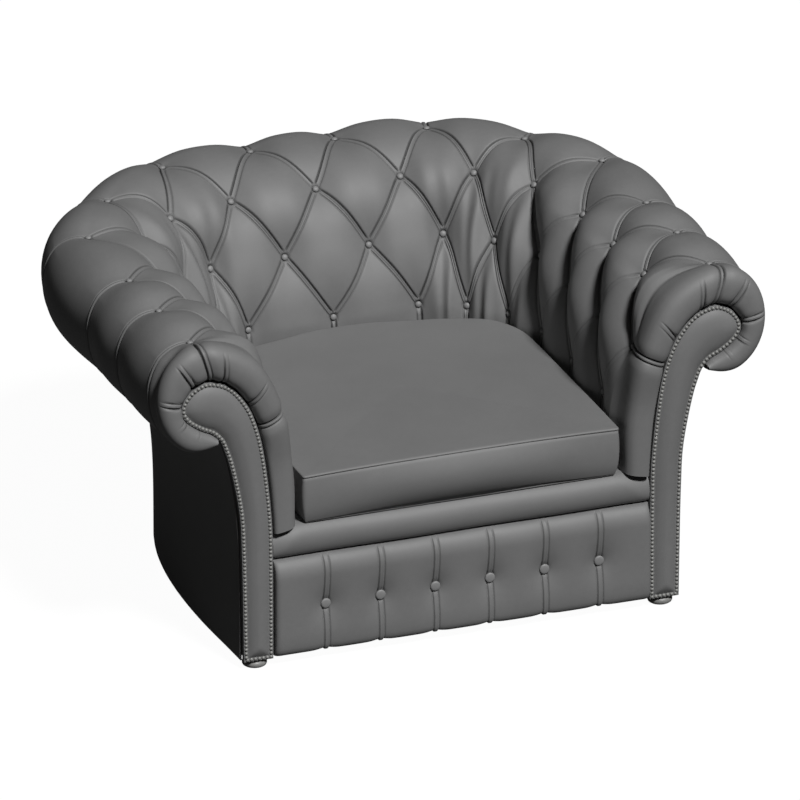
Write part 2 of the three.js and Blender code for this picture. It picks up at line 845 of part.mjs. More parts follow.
// Bands fill the height between the notch over the tack rail and the top rail: one band on the arms.
const webbedHeight = Math.min(topRailBottomZ, thirdZ) - slatNotchZ;
const freeHeight = webbedHeight - 2 * webbingMargin - webbingWidth;
const backBands = 1 + Math.max(0, Math.floor(freeHeight / webbingPitch));
const firstWebbingZ = slatNotchZ + webbingMargin + webbingWidth / 2;
const backWebbingZ = Array.from({ length: backBands }, (unused, i) => firstWebbingZ + i * webbingPitch);
const armWebbingZ = slatNotchZ + webbedHeight / 2;
const webbingMiddles = [armWebbingZ, ...backWebbingZ];
const webbingEdges = webbingMiddles.flatMap((z) => [z + webbingWidth / 2, z - webbingWidth / 2]);
const webbedLevels = [...webbingEdges, fourthZ, slatNotchZ].sort((a, b) => b - a);

// A shaped upright in the section plane of a column, from behind the tack rail and webbing to the outside panel.
function uprightSlat(column, thickness, bottomZ) {
  const [fourth, outward] = [fourthAt(column), outwardAt(column)];
  const sideways = new THREE.Vector2(-outward.y, outward.x);
  const crest = crestAt(column).sub(fourth).dot(outward);
  const tackRail = () => fourthRowPadding + tackRailThickness + seatGap * 3;
  const half = thickness / 2;
  const inner = Math.max(...reachesNear(column, half, tackRail));
  const top = topRailBottomZ - seatGap;
  const skin = panelThickness + panelToTimber / 2;
  const outerAt = (z) => Math.min(...reachesNear(column, half, (near) => panelOffset(near, z) - skin));
  const behindWebbing = webbingThickness + seatGap;
  const webbed = (z) => Math.max(...reachesNear(column, half, (near) => webbingOffset(near, z) + behindWebbing));
  const outerLevels = [bottomZ, ...panelLevels.filter((z) => z > bottomZ)];
  const outline = [
    [crest - topRailSetback, top],
    ...webbedLevels.map((z) => [webbed(z), z]),
    [inner, slatNotchZ],
    [inner, bottomZ],
    ...outerLevels.map((z) => [outerAt(z), z]),
    [outerAt(panelTopZ), top],
  ];
  const rings = [-half, half].map((shift) =>
    outline.map(([offset, z]) => {
      const p = placed(fourth, outward, offset, z);
      return new THREE.Vector3(p.x + sideways.x * shift, p.y + sideways.y * shift, p.z);
    }),
  );
  return loft(rings);
}

function footUnder(column) {
  const p = placed(fourthAt(column), outwardAt(column), baseOffset(column) - footRailInset, 0);
  return new THREE.Vector2(p.x, p.y);
}

const backFoot = footUnder(cornerColumn);

function cornerPost() {
  const post = toSolid(uprightSlat(cornerColumn, cornerPostThickness, frameBottomZ));
  const bore = roundCut(backFoot.x, backFoot.y, footBore, frameBottomZ - overrun, footBoreTop);
  return fromSolid(post.subtract(bore));
}

function boxBetween(low, high) {
  const size = high.clone().sub(low);
  const geometry = new THREE.BoxGeometry(size.x, size.y, size.z);
  const middle = low.clone().add(high).multiplyScalar(1 / 2);
  return geometry.translate(middle.x, middle.y, middle.z);
}

const frontRailBackY = armFrontBackY;
const frontRailFrontY = frontRailBackY - frontRailThickness;

function frontSeatRail() {
  const half = facingInnerX + stumpInset - seatGap;
  return boxBetween(
    new THREE.Vector3(-half, frontRailFrontY, frameBottomZ),
    new THREE.Vector3(half, frontRailBackY, apronTopZ),
  );
}

// A triangular block in the corner between the front rail and a side rail.
function cornerBlock() {
  const side = seatRailSection(frontColumn)[0].x - seatGap;
  const front = frontRailBackY + seatGap;
  const shape = new THREE.Shape([
    new THREE.Vector2(side, front),
    new THREE.Vector2(side, front + cornerBlockSize),
    new THREE.Vector2(side - cornerBlockSize, front),
  ]);
  const geometry = new THREE.ExtrudeGeometry(shape, { depth: cornerBlockHeight, bevelEnabled: false });
  return geometry.translate(0, 0, frameBottomZ + cornerBlockRise);
}

// Springs: each is one serpentine wire, arched from the front rail to the back rail.
function innerRailY(x) {
  let low = cornerColumn;
  let high = middleColumn;
  for (let i = 0; i < 30; i += 1) {
    const middle = (low + high) / 2;
    if (seatRailSection(middle)[0].x > x) low = middle;
    else high = middle;
  }
  return seatRailSection(low)[0].y;
}

const springSides = 4;
const springSteps = 6;

function springPath(x) {
  const start = frontRailBackY + springWire;
  const ends = [-1, 1].map((side) => innerRailY(Math.abs(x + (side * springSwing) / 2)));
  const end = Math.min(...ends) - springWire;
  const waves = Math.max(1, Math.round((end - start) / springWave));
  const points = [];
  const count = waves * springSteps;
  for (let i = 0; i <= count; i += 1) {
    const t = i / count;
    const swing = Math.sin(t * waves * 2 * Math.PI) * springSwing;
    const arch = Math.sin(t * Math.PI) * (springCrownZ - springEndZ);
    points.push(new THREE.Vector3(x + swing, start + t * (end - start), springEndZ + arch));
  }
  const run = new THREE.Vector3(0, springWire - seatGap, 0);
  points.unshift(points[0].clone().sub(run));
  points.push(points.at(-1).clone().add(run));
  return points;
}

function wire(points, diameter, sides) {
  const rings = points.map((p, i) => {
    const ahead = points[Math.min(i + 1, points.length - 1)];
    const behind = points[Math.max(i - 1, 0)];
    const atEnd = i === 0 || i === points.length - 1;
    const along = atEnd ? new THREE.Vector3(0, 1, 0) : ahead.clone().sub(behind).normalize();
    const across = new THREE.Vector3(0, 0, 1).cross(along).normalize();
    const up = along.clone().cross(across);
    return Array.from({ length: sides }, (unused, k) => {
      const angle = (2 * Math.PI * k) / sides;
      return p
        .clone()
        .addScaledVector(across, (Math.cos(angle) * diameter) / 2)
        .addScaledVector(up, (Math.sin(angle) * diameter) / 2);
    });
  });
  return loft(rings);
}

// Least gap between stretches of a wire that lie more than half a wave apart along it.
function leastGap(points, diameter) {
  let least = Infinity;
  points.forEach((p, i) => {
    points.slice(i + springSteps).forEach((q) => {
      least = Math.min(least, p.distanceTo(q) - diameter);
    });
  });
  return least;
}

// Sheets under the seat: their outline follows a row at an offset and is cut straight across the front.
function seatOutline(offsetAt, front) {
  const first = armColumnAt(front);
  const points = columnsBetween(first, lastColumn - first, 1).map((column) => {
    const p = placed(fourthAt(column), outwardAt(column), offsetAt(column), 0);
    return new THREE.Vector2(p.x, Math.max(p.y, front));
  });
  points[0].y = front;
  points.at(-1).y = front;
  return points;
}

function sheet(outline, bottom, thickness) {
  const shape = new THREE.Shape(outline);
  const geometry = new THREE.ExtrudeGeometry(shape, { depth: thickness, bevelEnabled: false });
  return geometry.translate(0, 0, bottom);
}

const deckFront = frontY + lipDepth + seatGap;
const hessianBottom = sideRailTopZ + seatGap;
const deckBottom = hessianBottom + hessianThickness + seatGap;

function seatHessian() {
  return sheet(seatOutline(() => deckHalfGap, deckFront), hessianBottom, hessianThickness);
}

function seatDeck() {
  return sheet(seatOutline(() => deckHalfGap, deckFront), deckBottom, platformZ - deckBottom);
}

function dustCover() {
  const edgeAt = (column) => baseOffset(column) - dustCoverInset;
  const outline = seatOutline(edgeAt, frontRailBackY + footBackSetback);
  let solid = toSolid(sheet(outline, frameBottomZ - seatGap - dustCoverThickness, dustCoverThickness));
  for (const side of [-1, 1]) {
    const foot = roundCut(side * backFoot.x, backFoot.y, footRadius, -overrun, frameBottomZ + overrun);
    solid = solid.subtract(foot);
  }
  return fromSolid(solid);
}

// Seat lip: a padded roll across the front, swept from side to side.
const betweenFacings = facingInnerX - sideJoint;
const pleatCount = Math.floor((2 * betweenFacings) / pleatPitch);

function lipRoll() {
  const bottom = apronTopZ + seatGap;
  const profile = [
    [1, 0], [0.32, 0], [0.16, 0.1], [0.06, 0.3], [0, 0.52],
    [0.03, 0.74], [0.12, 0.9], [0.3, 0.985], [0.5, 1], [1, 1],
  ];
  const rings = [-1, -0.97, -0.5, 0, 0.5, 0.97, 1].map((side) => {
    const swell = Math.abs(side) === 1 ? lipBulge / 3 : 0;
    return profile.map(([back, up]) => {
      const y = frontY + swell * (1 - back) + back * lipDepth;
      return new THREE.Vector3(side * betweenFacings, y, bottom + up * (platformZ - bottom));
    });
  });
  return loft(rings);
}

// Apron: a padded panel with folded pleats, each a raised fold between two grooves.
const apronFace = -depth / 2 + apronButtonHeight + seatGap + pleatRidge;
const apronThickness = frontRailFrontY - seatGap - apronFace;

function apronPush(x) {
  for (let i = 0; i < pleatCount; i += 1) {
    const away = Math.abs(x - (i - (pleatCount - 1) / 2) * pleatPitch);
    if (away < pleatHalfWidth / 2) return -pleatRidge;
    if (away <= pleatHalfWidth) return pleatGroove;
  }
  return 0;
}

function frontApron() {
  const stations = [-betweenFacings, -betweenFacings + pleatHalfWidth];
  for (let i = 0; i < pleatCount; i += 1) {
    const middle = (i - (pleatCount - 1) / 2) * pleatPitch;
    if (i > 0) stations.push(middle - pleatPitch / 2);
    for (const share of [-1.8, -1, -0.4, 0.4, 1, 1.8]) stations.push(middle + share * pleatHalfWidth);
  }
  stations.push(betweenFacings - pleatHalfWidth, betweenFacings);
  const profile = [
    [1, 0], [0.25, 0], [0, 0.1], [0, 0.8], [0.08, 0.93], [0.5, 1], [1, 1],
  ];
  const rings = stations.map((x) => {
    const edge = Math.abs(x) === betweenFacings ? apronThickness / 3 : 0;
    return profile.map(([back, up]) => {
      const push = back < 1 ? apronPush(x) + edge : 0;
      const y = apronFace + back * apronThickness + push * (1 - back);
      return new THREE.Vector3(x, y, frameBottomZ + up * (apronTopZ - frameBottomZ));
    });
  });
  return loft(rings);
}

function apronButton(index) {
  const profile = [
    [0, 0], [1, 0], [1, 0.3], [0.8, 0.75], [0.45, 0.95], [0, 1],
  ].map(([radius, rise]) => new THREE.Vector2(radius * apronButtonRadius, rise * apronButtonHeight));
  const geometry = new THREE.LatheGeometry(profile, 14);
  geometry.rotateX(Math.PI);
  const x = (index - (pleatCount - 1) / 2) * pleatPitch;
  return { geometry, place: new THREE.Vector3(x, apronFace - pleatRidge - seatGap, apronButtonZ) };
}

// Outside panels: thin leather-covered shells from the base line up to the underside of the roll.

function panelSection(column) {
  const [fourth, outward] = [fourthAt(column), outwardAt(column)];
  const outer = panelLevels.map((z) => placed(fourth, outward, panelOffset(column, z), z));
  const inner = panelLevels.map((z) => placed(fourth, outward, panelOffset(column, z) - panelThickness, z));
  return [...outer, ...inner.reverse()];
}

function outsideArm() {
  const first = armColumnAt(stumpFront);
  const rings = columnsBetween(first, cornerColumn - halfJoint, 0.5).map(panelSection);
  rings[0] = flattenTo(rings[0], stumpFront);
  return loft(rings);
}

function outsideBack() {
  return sweep(cornerColumn + halfJoint, lastColumn - cornerColumn - halfJoint, 0.5, panelSection);
}

// Cushion: a boxed pad whose back edge follows the inside back.
const cushionHalf = crestHalfWidth - fourthRowArmInset - seatPuff - cushionSideGap;
const cushionFront = frontY + cushionFrontSetback;
const cushionBack = crestBackY - fourthRowBackInset - cushionBackGap;
const cushionBottom = platformZ + seatGap;
const cushionShares = [
  [1, 0.745], [0.982, 0.79], [0.93, 0.85], [0.85, 0.894], [0.605, 0.945],
  [0.475, 0.96], [0.36, 0.973], [0.18, 0.994], [0, 1],
];

function cushionOutline(inset, cornerSteps) {
  const half = cushionHalf - inset;
  const front = cushionFront + inset;
  const run = cushionBack - inset - front;
  const right = [new THREE.Vector2(half - cushionCornerRadius, front)];
  for (let i = 1; i <= cornerSteps; i += 1) {
    const angle = ((i / cornerSteps - 1) * Math.PI) / 2;
    const centre = new THREE.Vector2(half - cushionCornerRadius, front + cushionCornerRadius);
    const turn = new THREE.Vector2(Math.cos(angle), Math.sin(angle));
    right.push(centre.addScaledVector(turn, cushionCornerRadius));
  }
  right.push(new THREE.Vector2(half, front + run * 0.4));
  cushionShares.forEach(([across, along]) => right.push(new THREE.Vector2(across * half, front + along * run)));
  const left = right.slice(0, -1).map((p) => new THREE.Vector2(-p.x, p.y)).reverse();
  return [...right, ...left];
}

const cushionReach = Math.min(cushionHalf, (cushionBack - cushionFront) / 2);

// Shares of the height, of the edge's width, of the way to the middle and of the crown, from the underside up.
const cushionRingShares = [
  [0, 1.2, 0, 0],
  [0.03, 0.3, 0, 0],
  [0.12, 0, 0, 0],
  [0.5, -0.25, 0, 0],
  [0.88, 0, 0, 0],
  [0.97, 0.3, 0, 0],
  [1, 1.2, 0, 0],
  [1, 1.2, 0.17, 0.5],
  [1, 1.2, 0.43, 0.85],
  [1, 1.2, 0.71, 1],
];

function cushionForm(inset, fine) {
  const chosen = fine ? cushionRingShares : cushionRingShares.filter((ring, i) => i % 2 === 0);
  const tall = cushionThickness - 2 * inset - cushionCrown;
  const rings = chosen.map(([up, edge, inwards, crown]) =>
    cushionOutline(inset + edge * cushionEdge + inwards * cushionReach, fine ? 3 : 1).map(
      (p) => new THREE.Vector3(p.x, p.y, cushionBottom + inset + up * tall + crown * cushionCrown),
    ),
  );
  return loft(rings);
}

const zipMiddleZ = cushionBottom + cushionThickness / 2;

function zipBox(gap) {
  return toSolid(
    boxBetween(
      new THREE.Vector3(-zipLength / 2 + gap, cushionBack - zipReach, zipMiddleZ - zipWidth / 2 + gap),
      new THREE.Vector3(zipLength / 2 - gap, cushionBack + overrun, zipMiddleZ + zipWidth / 2 - gap),
    ),
  );
}

function cushionWall() {
  return toSolid(cushionForm(0, true)).subtract(toSolid(cushionForm(coverThickness, false)));
}

// Finishes
function finish(color, roughness, metalness = 0) {
  return new THREE.MeshStandardMaterial({ color, roughness, metalness });
}

const leather = finish(0x858585, 0.5);
const buttonLeather = finish(0x7d7d7d, 0.45);
const nailMetal = finish(0x9a9a98, 0.35, 0.6);
const footWood = finish(0x6e6e6e, 0.4);
const frameWood = finish(0xc8a878, 0.7);
const springSteel = finish(0x8a8d90, 0.35, 0.9);
const webbing = finish(0x2f2f31, 0.85);
const hessian = finish(0xa08a63, 0.9);
const lining = finish(0x1c1c1e, 0.9);
const foam = finish(0xd8d2c4, 0.95);
const zipTape = finish(0x4a4a4a, 0.6);

const chair = new THREE.Group();
const chairFrame = new THREE.Group();
const suspension = new THREE.Group();
const upholstery = new THREE.Group();
const cushion = new THREE.Group();
chair.add(chairFrame, suspension, upholstery, cushion);

function addPiece(group, name, geometry, material) {
  const mesh = new THREE.Mesh(geometry, material);
  mesh.name = name;
  group.add(mesh);
  return mesh;
}

// A right-hand piece and its mirror image.
function addPair(group, name, geometry, material) {
  addPiece(group, `${name}_right`, geometry, material);
  addPiece(group, `${name}_left`, geometry, material).scale.x = -1;
}

addPiece(chairFrame, 'front_seat_rail', frontSeatRail(), frameWood);
addPiece(chairFrame, 'back_seat_rail', backSeatRail(), frameWood);
addPiece(chairFrame, 'back_top_rail', backTopRail(), frameWood);
addPiece(chairFrame, 'back_tack_rail', backTackRail(), frameWood);
addPair(chairFrame, 'side_seat_rail', sideSeatRail(), frameWood);
addPair(chairFrame, 'front_stump', frontStump(), frameWood);
addPair(chairFrame, 'corner_post', cornerPost(), frameWood);
addPair(chairFrame, 'arm_top_rail', armTopRail(), frameWood);
addPair(chairFrame, 'arm_tack_rail', armTackRail(), frameWood);
addPair(chairFrame, 'arm_slat', uprightSlat(armSlatColumn, slatThickness, sideRailTopZ + seatGap), frameWood);
addPair(chairFrame, 'back_slat', uprightSlat(backSlatColumn, slatThickness, sideRailTopZ + seatGap), frameWood);
addPair(chairFrame, 'corner_block', cornerBlock(), frameWood);
addPair(chairFrame, 'facing_board', facingBoard(), leather);
addPair(chairFrame, 'front_bun_foot', footSolid(frontFoot.x, frontFoot.y), footWood);
addPair(chairFrame, 'back_bun_foot', footSolid(backFoot.x, backFoot.y), footWood);

let wireGap = Infinity;
for (let i = 0; i < springCount; i += 1) {
  const path = springPath((i - (springCount - 1) / 2) * springPitch);
  wireGap = Math.min(wireGap, leastGap(path, springWire));
  addPiece(suspension, `seat_spring_${i + 1}`, wire(path, springWire, springSides), springSteel);
}
console.log(`least gap of a spring to itself: ${wireGap.toFixed(1)} mm`);
const webColumns = [cornerColumn + halfJoint, lastColumn - cornerColumn - halfJoint];
backWebbingZ.forEach((z, i) => {
  addPiece(suspension, `back_webbing_${i + 1}`, sweep(...webColumns, 0.5, webbingSection(z)), webbing);
});
const armWebbing = armSweep(cornerColumn - halfJoint, 0.5, webbingSection(armWebbingZ));
addPair(suspension, 'arm_webbing', armWebbing, webbing);
addPiece(suspension, 'seat_hessian', seatHessian(), hessian);
addPiece(suspension, 'dust_cover', dustCover(), lining);

addPiece(upholstery, 'seat_deck', seatDeck(), lining);
addPiece(upholstery, 'lip_roll', lipRoll(), leather);
addPiece(upholstery, 'front_apron', frontApron(), leather);
for (let i = 0; i < pleatCount; i += 1) {
  const { geometry, place } = apronButton(i);
  addPiece(upholstery, `apron_button_${i + 1}`, geometry, buttonLeather).position.copy(place);
}
addPiece(upholstery, 'inside_back', backPad(), leather);
addPair(upholstery, 'inside_arm', armPad(), leather);
addPair(upholstery, 'arm_front', armFront(), leather);
addPair(upholstery, 'facing_panel', facingPanel(), leather);
addPair(upholstery, 'nail_strip', nailStrip(), nailMetal);
addPiece(upholstery, 'outside_back', outsideBack(), leather);
addPair(upholstery, 'outside_arm', outsideArm(), leather);

const wall = cushionWall();
addPiece(cushion, 'cushion_cover', fromSolid(wall.subtract(zipBox(0))), leather);
addPiece(cushion, 'cushion_zip', fromSolid(wall.intersect(zipBox(seatGap))), zipTape);
addPiece(cushion, 'cushion_core', cushionForm(coverThickness + seatGap * 2, false), foam);

export default chair;
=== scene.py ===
"""Grey chesterfield armchair: the looks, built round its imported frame.

Lengths are metres, +Z up, the seat opens towards -Y. Real sizes are written in millimetres times MM.
"""

import json
import math

import bmesh
import bpy
import numpy as np
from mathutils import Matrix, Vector


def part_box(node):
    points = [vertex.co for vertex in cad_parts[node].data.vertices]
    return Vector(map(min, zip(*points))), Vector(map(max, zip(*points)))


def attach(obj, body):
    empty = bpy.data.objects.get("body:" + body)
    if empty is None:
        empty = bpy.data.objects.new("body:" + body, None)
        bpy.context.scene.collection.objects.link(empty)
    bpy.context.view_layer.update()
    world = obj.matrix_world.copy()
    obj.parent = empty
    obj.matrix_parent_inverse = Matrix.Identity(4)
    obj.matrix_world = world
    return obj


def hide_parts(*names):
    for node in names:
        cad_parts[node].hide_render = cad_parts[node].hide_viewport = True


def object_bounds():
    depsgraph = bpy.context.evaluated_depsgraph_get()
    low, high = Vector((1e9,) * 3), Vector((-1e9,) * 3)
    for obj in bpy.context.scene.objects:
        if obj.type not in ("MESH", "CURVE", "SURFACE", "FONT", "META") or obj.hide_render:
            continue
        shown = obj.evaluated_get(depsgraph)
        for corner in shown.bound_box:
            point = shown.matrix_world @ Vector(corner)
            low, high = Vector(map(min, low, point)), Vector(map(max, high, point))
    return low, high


MM = 0.001

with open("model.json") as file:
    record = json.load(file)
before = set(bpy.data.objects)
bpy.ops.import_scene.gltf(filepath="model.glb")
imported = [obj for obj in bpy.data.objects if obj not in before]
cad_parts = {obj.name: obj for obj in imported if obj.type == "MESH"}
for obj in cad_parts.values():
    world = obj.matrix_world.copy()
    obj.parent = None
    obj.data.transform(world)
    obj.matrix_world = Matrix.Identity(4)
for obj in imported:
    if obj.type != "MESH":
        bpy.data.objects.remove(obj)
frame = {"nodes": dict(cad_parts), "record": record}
cad_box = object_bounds()

# Camera, from the picture's projection
VIEW_AZIMUTH = -21.3
VIEW_ELEVATION = 23.15
VIEW_WIDTH = 1456 * MM
VIEW_TARGET = Vector((59.5, 0, 273)) * MM
LENS = 1200
SENSOR = 36
CLIP_START = 1
CLIP_END = 200


def in_scene(name, data):
    thing = bpy.data.objects.new(name, data)
    bpy.context.scene.collection.objects.link(thing)
    return thing


def aim_from(thing, direction):
    """Turns a camera or a light to look from a direction."""
    thing.rotation_mode = "QUATERNION"
    thing.rotation_quaternion = (-direction).to_track_quat("-Z", "Y")


def add_camera():
    azimuth = math.radians(VIEW_AZIMUTH)
    elevation = math.radians(VIEW_ELEVATION)
    level = math.cos(elevation)
    back = Vector((math.sin(azimuth) * level, -math.cos(azimuth) * level, math.sin(elevation)))
    data = bpy.data.cameras.new("camera")
    data.lens = LENS
    data.sensor_width = SENSOR
    data.clip_start = CLIP_START
    data.clip_end = CLIP_END
    camera = in_scene("camera", data)
    camera.location = VIEW_TARGET + back * (VIEW_WIDTH * LENS / SENSOR)
    aim_from(camera, back)
    bpy.context.scene.camera = camera


SIDES = ((1, "right"), (-1, "left"))

# Leather, buttons and pleats
PUFF = 19 * MM
CREST_PUFF = 13 * MM
LOW_PUFF = 12 * MM
ROLL_PUFF = 13 * MM
SEAT_PUFF = 8 * MM
PLEAT_RISE = 13 * MM
PLEAT_ROUNDNESS = 0.75
ARM_RISE = 4 * MM
ROLL_RISE = 12.5 * MM
ARM_PUFF = 8 * MM
BUTTON_SINK = 6 * MM
HOLLOW_DEPTH = 4.2 * MM
HOLLOW_RADIUS = 7.8 * MM
BELLY = 0.3
PUFF_SHARPNESS = 0.5
ARM_SHARPNESS = 0.9
ROLL_SHARPNESS = 0.66
SIDE_CLEARANCE = 11.7 * MM
CREST_CLEARANCE = 12 * MM
BACK_CLEARANCE = 9 * MM
TUFT_BUTTON_RADIUS = 6 * MM
BUTTON_RADIUS = 9.6 * MM
PAD_THICKNESS = 25 * MM
FOLD_HALF_WIDTH = 3.2 * MM
FOLD_HEIGHT = 1.3 * MM
GROOVE_WIDTH = 1.5 * MM
GROOVE_DEPTH = 4.2 * MM
FAINT_GROOVE = 0.4
ARM_CROSS_PLEAT = 0.2
ARM_THROUGH = 0.92
# Painted shade: in pleat grooves, button hollows and gathers the leather's colour is darkened towards this
# grey, by up to this share.
PAINTED_CREASE_SHADE_STRENGTH = 0.7
PAINTED_CREASE_SHADE_GREY = "#1e1e1e"

# The roll's section and the button rows, inside and below the crest row
ROLL_HALF_WIDTH = 76 * MM
ROLL_HALF_HEIGHT = 94 * MM
ROLL_DEGREES = 200
ROLL_ROWS = 4.3
SECOND_ROW = {"arm_inset": 97 * MM, "back_inset": 122 * MM, "drop": 41 * MM}
THIRD_ROW = {"arm_inset": 151 * MM, "back_inset": 180 * MM, "drop": 144 * MM}
FOURTH_ROW = {"arm_inset": 178 * MM, "back_inset": 214 * MM, "drop": 263 * MM}
SEAT_SETBACK = 3 * MM

# Places taken from the frame
FRONT_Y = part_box("arm_front_right")[0].y
ARM_FRONT_BACK_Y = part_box("arm_front_right")[1].y
SEAT_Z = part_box("inside_back")[0].z
CREST_Z = cad_box[1].z - CREST_CLEARANCE
CREST_HALF = cad_box[1].x - SIDE_CLEARANCE - ROLL_HALF_WIDTH
CREST_BACK_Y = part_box("inside_back")[1].y - BACK_CLEARANCE - ROLL_HALF_WIDTH
FACING_LOW, FACING_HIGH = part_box("facing_board_right")

# Button places on the right half, front to back: shares of the row's half width and of its run
CREST_SHARES = ([1, 1, 1, 0.997, 0.811, 0.515, 0.164], [0.08, 0.262, 0.436, 0.684, 0.856, 0.986, 1])
SECOND_SHARES = ([1, 1, 1, 0.923, 0.726, 0.407, 0], [0.208, 0.411, 0.613, 0.831, 0.954, 1, 1])
THIRD_SHARES = ([1, 1, 1, 1, 0.85, 0.643, 0.234], [0.105, 0.333, 0.555, 0.772, 0.907, 0.999, 1])
FOURTH_SHARES = ([1, 1, 1, 0.922, 0.75, 0.51, 0], [0.234, 0.466, 0.695, 0.8465, 0.944, 1, 1])
BASE_SHARES = ([0.997, 1, 0.98, 0.917, 0.802, 0.561, 0.194], [0.0987, 0.2987, 0.4974, 0.708, 0.862, 0.972, 1])
LAST_COLUMN = 26
CREST_ROW = 3
TINY = 1e-6
COLUMN_PITCH = 80 * MM


def between(a, b, c, d, t):
    """The place at t on a smooth line from b to c, with a before and d after them."""
    return (2 * b + (c - a) * t + (2 * a - 5 * b + 4 * c - d) * t**2 + (3 * b - a - 3 * c + d) * t**3) / 2


def smooth_through(points, place):
    """Points on a smooth line through the given ones. Place counts them from 0."""
    first = 2 * points[0] - points[1]
    last = 2 * points[-1] - points[-2]
    knots = np.vstack([first, points, last])
    place = np.clip(place, 0, len(points) - 1 - TINY)
    low = np.floor(place).astype(int)
    return between(*(knots[low + k] for k in range(4)), (place - low)[:, None])


def row_line(half_width, back_y, shares, first_column):
    """A button row in plan as a function of the column, mirrored to the left half."""
    across, along = (np.array(s, float) for s in shares)
    right = np.column_stack([across * half_width, FRONT_Y + along * (back_y - FRONT_Y)])
    left = (right * [-1, 1])[::-1][first_column:]
    knots = np.vstack([right, left])
    before = 2 * knots[0] - knots[1]
    line = np.vstack([before, knots, before * [-1, 1]])
    return lambda column: smooth_through(line, (column - first_column + 2) / 2)


def button_row(row, shares, first_column):
    half = CREST_HALF - row["arm_inset"]
    return row_line(half, CREST_BACK_Y - row["back_inset"], shares, first_column)


crest_line = row_line(CREST_HALF, CREST_BACK_Y, CREST_SHARES, 0)
second_line = button_row(SECOND_ROW, SECOND_SHARES, 1)
third_line = button_row(THIRD_ROW, THIRD_SHARES, 0)
fourth_line = button_row(FOURTH_ROW, FOURTH_SHARES, 1)


def right_half(column):
    """Columns with those on the left half as their mirrors on the right, and the sign of X on each."""
    left = column > LAST_COLUMN / 2
    return np.where(left, LAST_COLUMN - column, column), np.where(left, -1, 1)


def unit(vectors):
    return vectors / np.maximum(np.linalg.norm(vectors, axis=-1, keepdims=True), 1e-12)


def outward_at(column):
    """The way out of the seat in plan, from the lowest button row towards the crest."""
    return unit(crest_line(column) - fourth_line(column))


def placed(plan, outward, offset, z):
    offset = np.broadcast_to(offset, plan.shape[:1])
    z = np.broadcast_to(z, plan.shape[:1])
    return np.column_stack([plan + outward * offset[:, None], z])


def ramp(low, high, value):
    """0 below low, 1 above high, smooth between them."""
    t = np.clip((value - low) / (high - low), 0, 1)
    return t * t * (3 - 2 * t)


def bell(distance, width, power=2):
    """1 at no distance, falling off past a width, the more sharply the higher the power."""
    return np.exp(-((distance / width) ** power))


def crossed(first, second):
    """Every pair of two lists' values, as two flat arrays."""
    return (a.ravel() for a in np.meshgrid(first, second, indexing="ij"))


def button_level(column, row):
    """The surface that the button shanks hold down. Rows count up from -1 at the seat over 3 at the crest."""
    outward = outward_at(column)
    seat = placed(fourth_line(column), outward, -SEAT_SETBACK, SEAT_Z)
    fourth = placed(fourth_line(column), outward, 0, CREST_Z - FOURTH_ROW["drop"])
    third = placed(third_line(column), outward, 0, CREST_Z - THIRD_ROW["drop"])
    second = placed(second_line(column), outward, 0, CREST_Z - SECOND_ROW["drop"])
    crest = placed(crest_line(column), outward, 0, CREST_Z)
    over = 2 * crest - second
    over[:, 2] = second[:, 2]
    levels = np.stack([2 * seat - fourth, seat, fourth, third, second, crest, over])
    place = np.clip(row, -1, CREST_ROW - TINY) + 2
    low = np.floor(place).astype(int)
    each = np.arange(len(column))
    below = between(*(levels[low + k, each] for k in (-1, 0, 1, 2)), (place - low)[:, None])
    angle = np.radians(90 - (row - CREST_ROW) * ROLL_DEGREES / ROLL_ROWS)
    roll_z = CREST_Z - ROLL_HALF_HEIGHT + np.sin(angle) * ROLL_HALF_HEIGHT
    roll = placed(crest[:, :2], outward, np.cos(angle) * ROLL_HALF_WIDTH, roll_z)
    return np.where((row >= CREST_ROW)[:, None], roll, below)


def column_at(y):
    """The column on the straight part of the arm where the crest row passes y."""
    columns = np.linspace(-1, 4, 501)
    return float(np.interp(y, crest_line(columns)[:, 1], columns))


FRONT_COLUMN = column_at(ARM_FRONT_BACK_Y)

# Facing outline, from its inner foot round the head to its outer foot, in shares of its reach and height
FACING_SHARES = [
    [0, 0], [0.003, 0.33], [0.015, 0.49], [0.1, 0.723], [0.172, 0.821], [0.27, 0.896], [0.433, 0.964],
    [0.58, 0.992], [0.741, 1], [0.89, 0.978], [0.985, 0.94], [1, 0.905], [0.933, 0.87], [0.785, 0.8365],
    [0.663, 0.8175], [0.572, 0.786], [0.525, 0.7495], [0.477, 0.702], [0.369, 0.527], [0.345, 0.385],
    [0.324, 0],
]
FACING_TIP = 11
FACING_STEPS = 24
RING_CLEARANCE = 1.5 * MM


def centripetal(points, steps):
    """A smooth line through points, in steps between them, that doesn't overshoot where they lie close."""
    points = np.asarray(points, float)
    knots = np.vstack([2 * points[0] - points[1], points, 2 * points[-1] - points[-2]])
    line = []
    for i in range(1, len(knots) - 2):
        p0, p1, p2, p3 = knots[i - 1 : i + 3]
        spans = [max(np.linalg.norm(b - a), 1e-9) ** 0.5 for a, b in ((p0, p1), (p1, p2), (p2, p3))]
        start = ((p1 - p0) / spans[0] - (p2 - p0) / (spans[0] + spans[1]) + (p2 - p1) / spans[1]) * spans[1]
        end = ((p2 - p1) / spans[1] - (p3 - p1) / (spans[1] + spans[2]) + (p3 - p2) / spans[2]) * spans[1]
        for t in np.arange(steps) / steps:
            line.append(
                (2 * t**3 - 3 * t**2 + 1) * p1
                + (t**3 - 2 * t**2 + t) * start
                + (3 * t**2 - 2 * t**3) * p2
                + (t**3 - t**2) * end
            )
    line.append(points[-1])
    return np.array(line)


def spaced_along(line, count):
    """That many points at even spacing along a line, its ends included."""
    length = np.concatenate([[0], np.cumsum(np.linalg.norm(np.diff(line, axis=0), axis=1))])
    marks = np.linspace(0, length[-1], count)
    return np.column_stack([np.interp(marks, length, line[:, k]) for k in range(line.shape[1])])


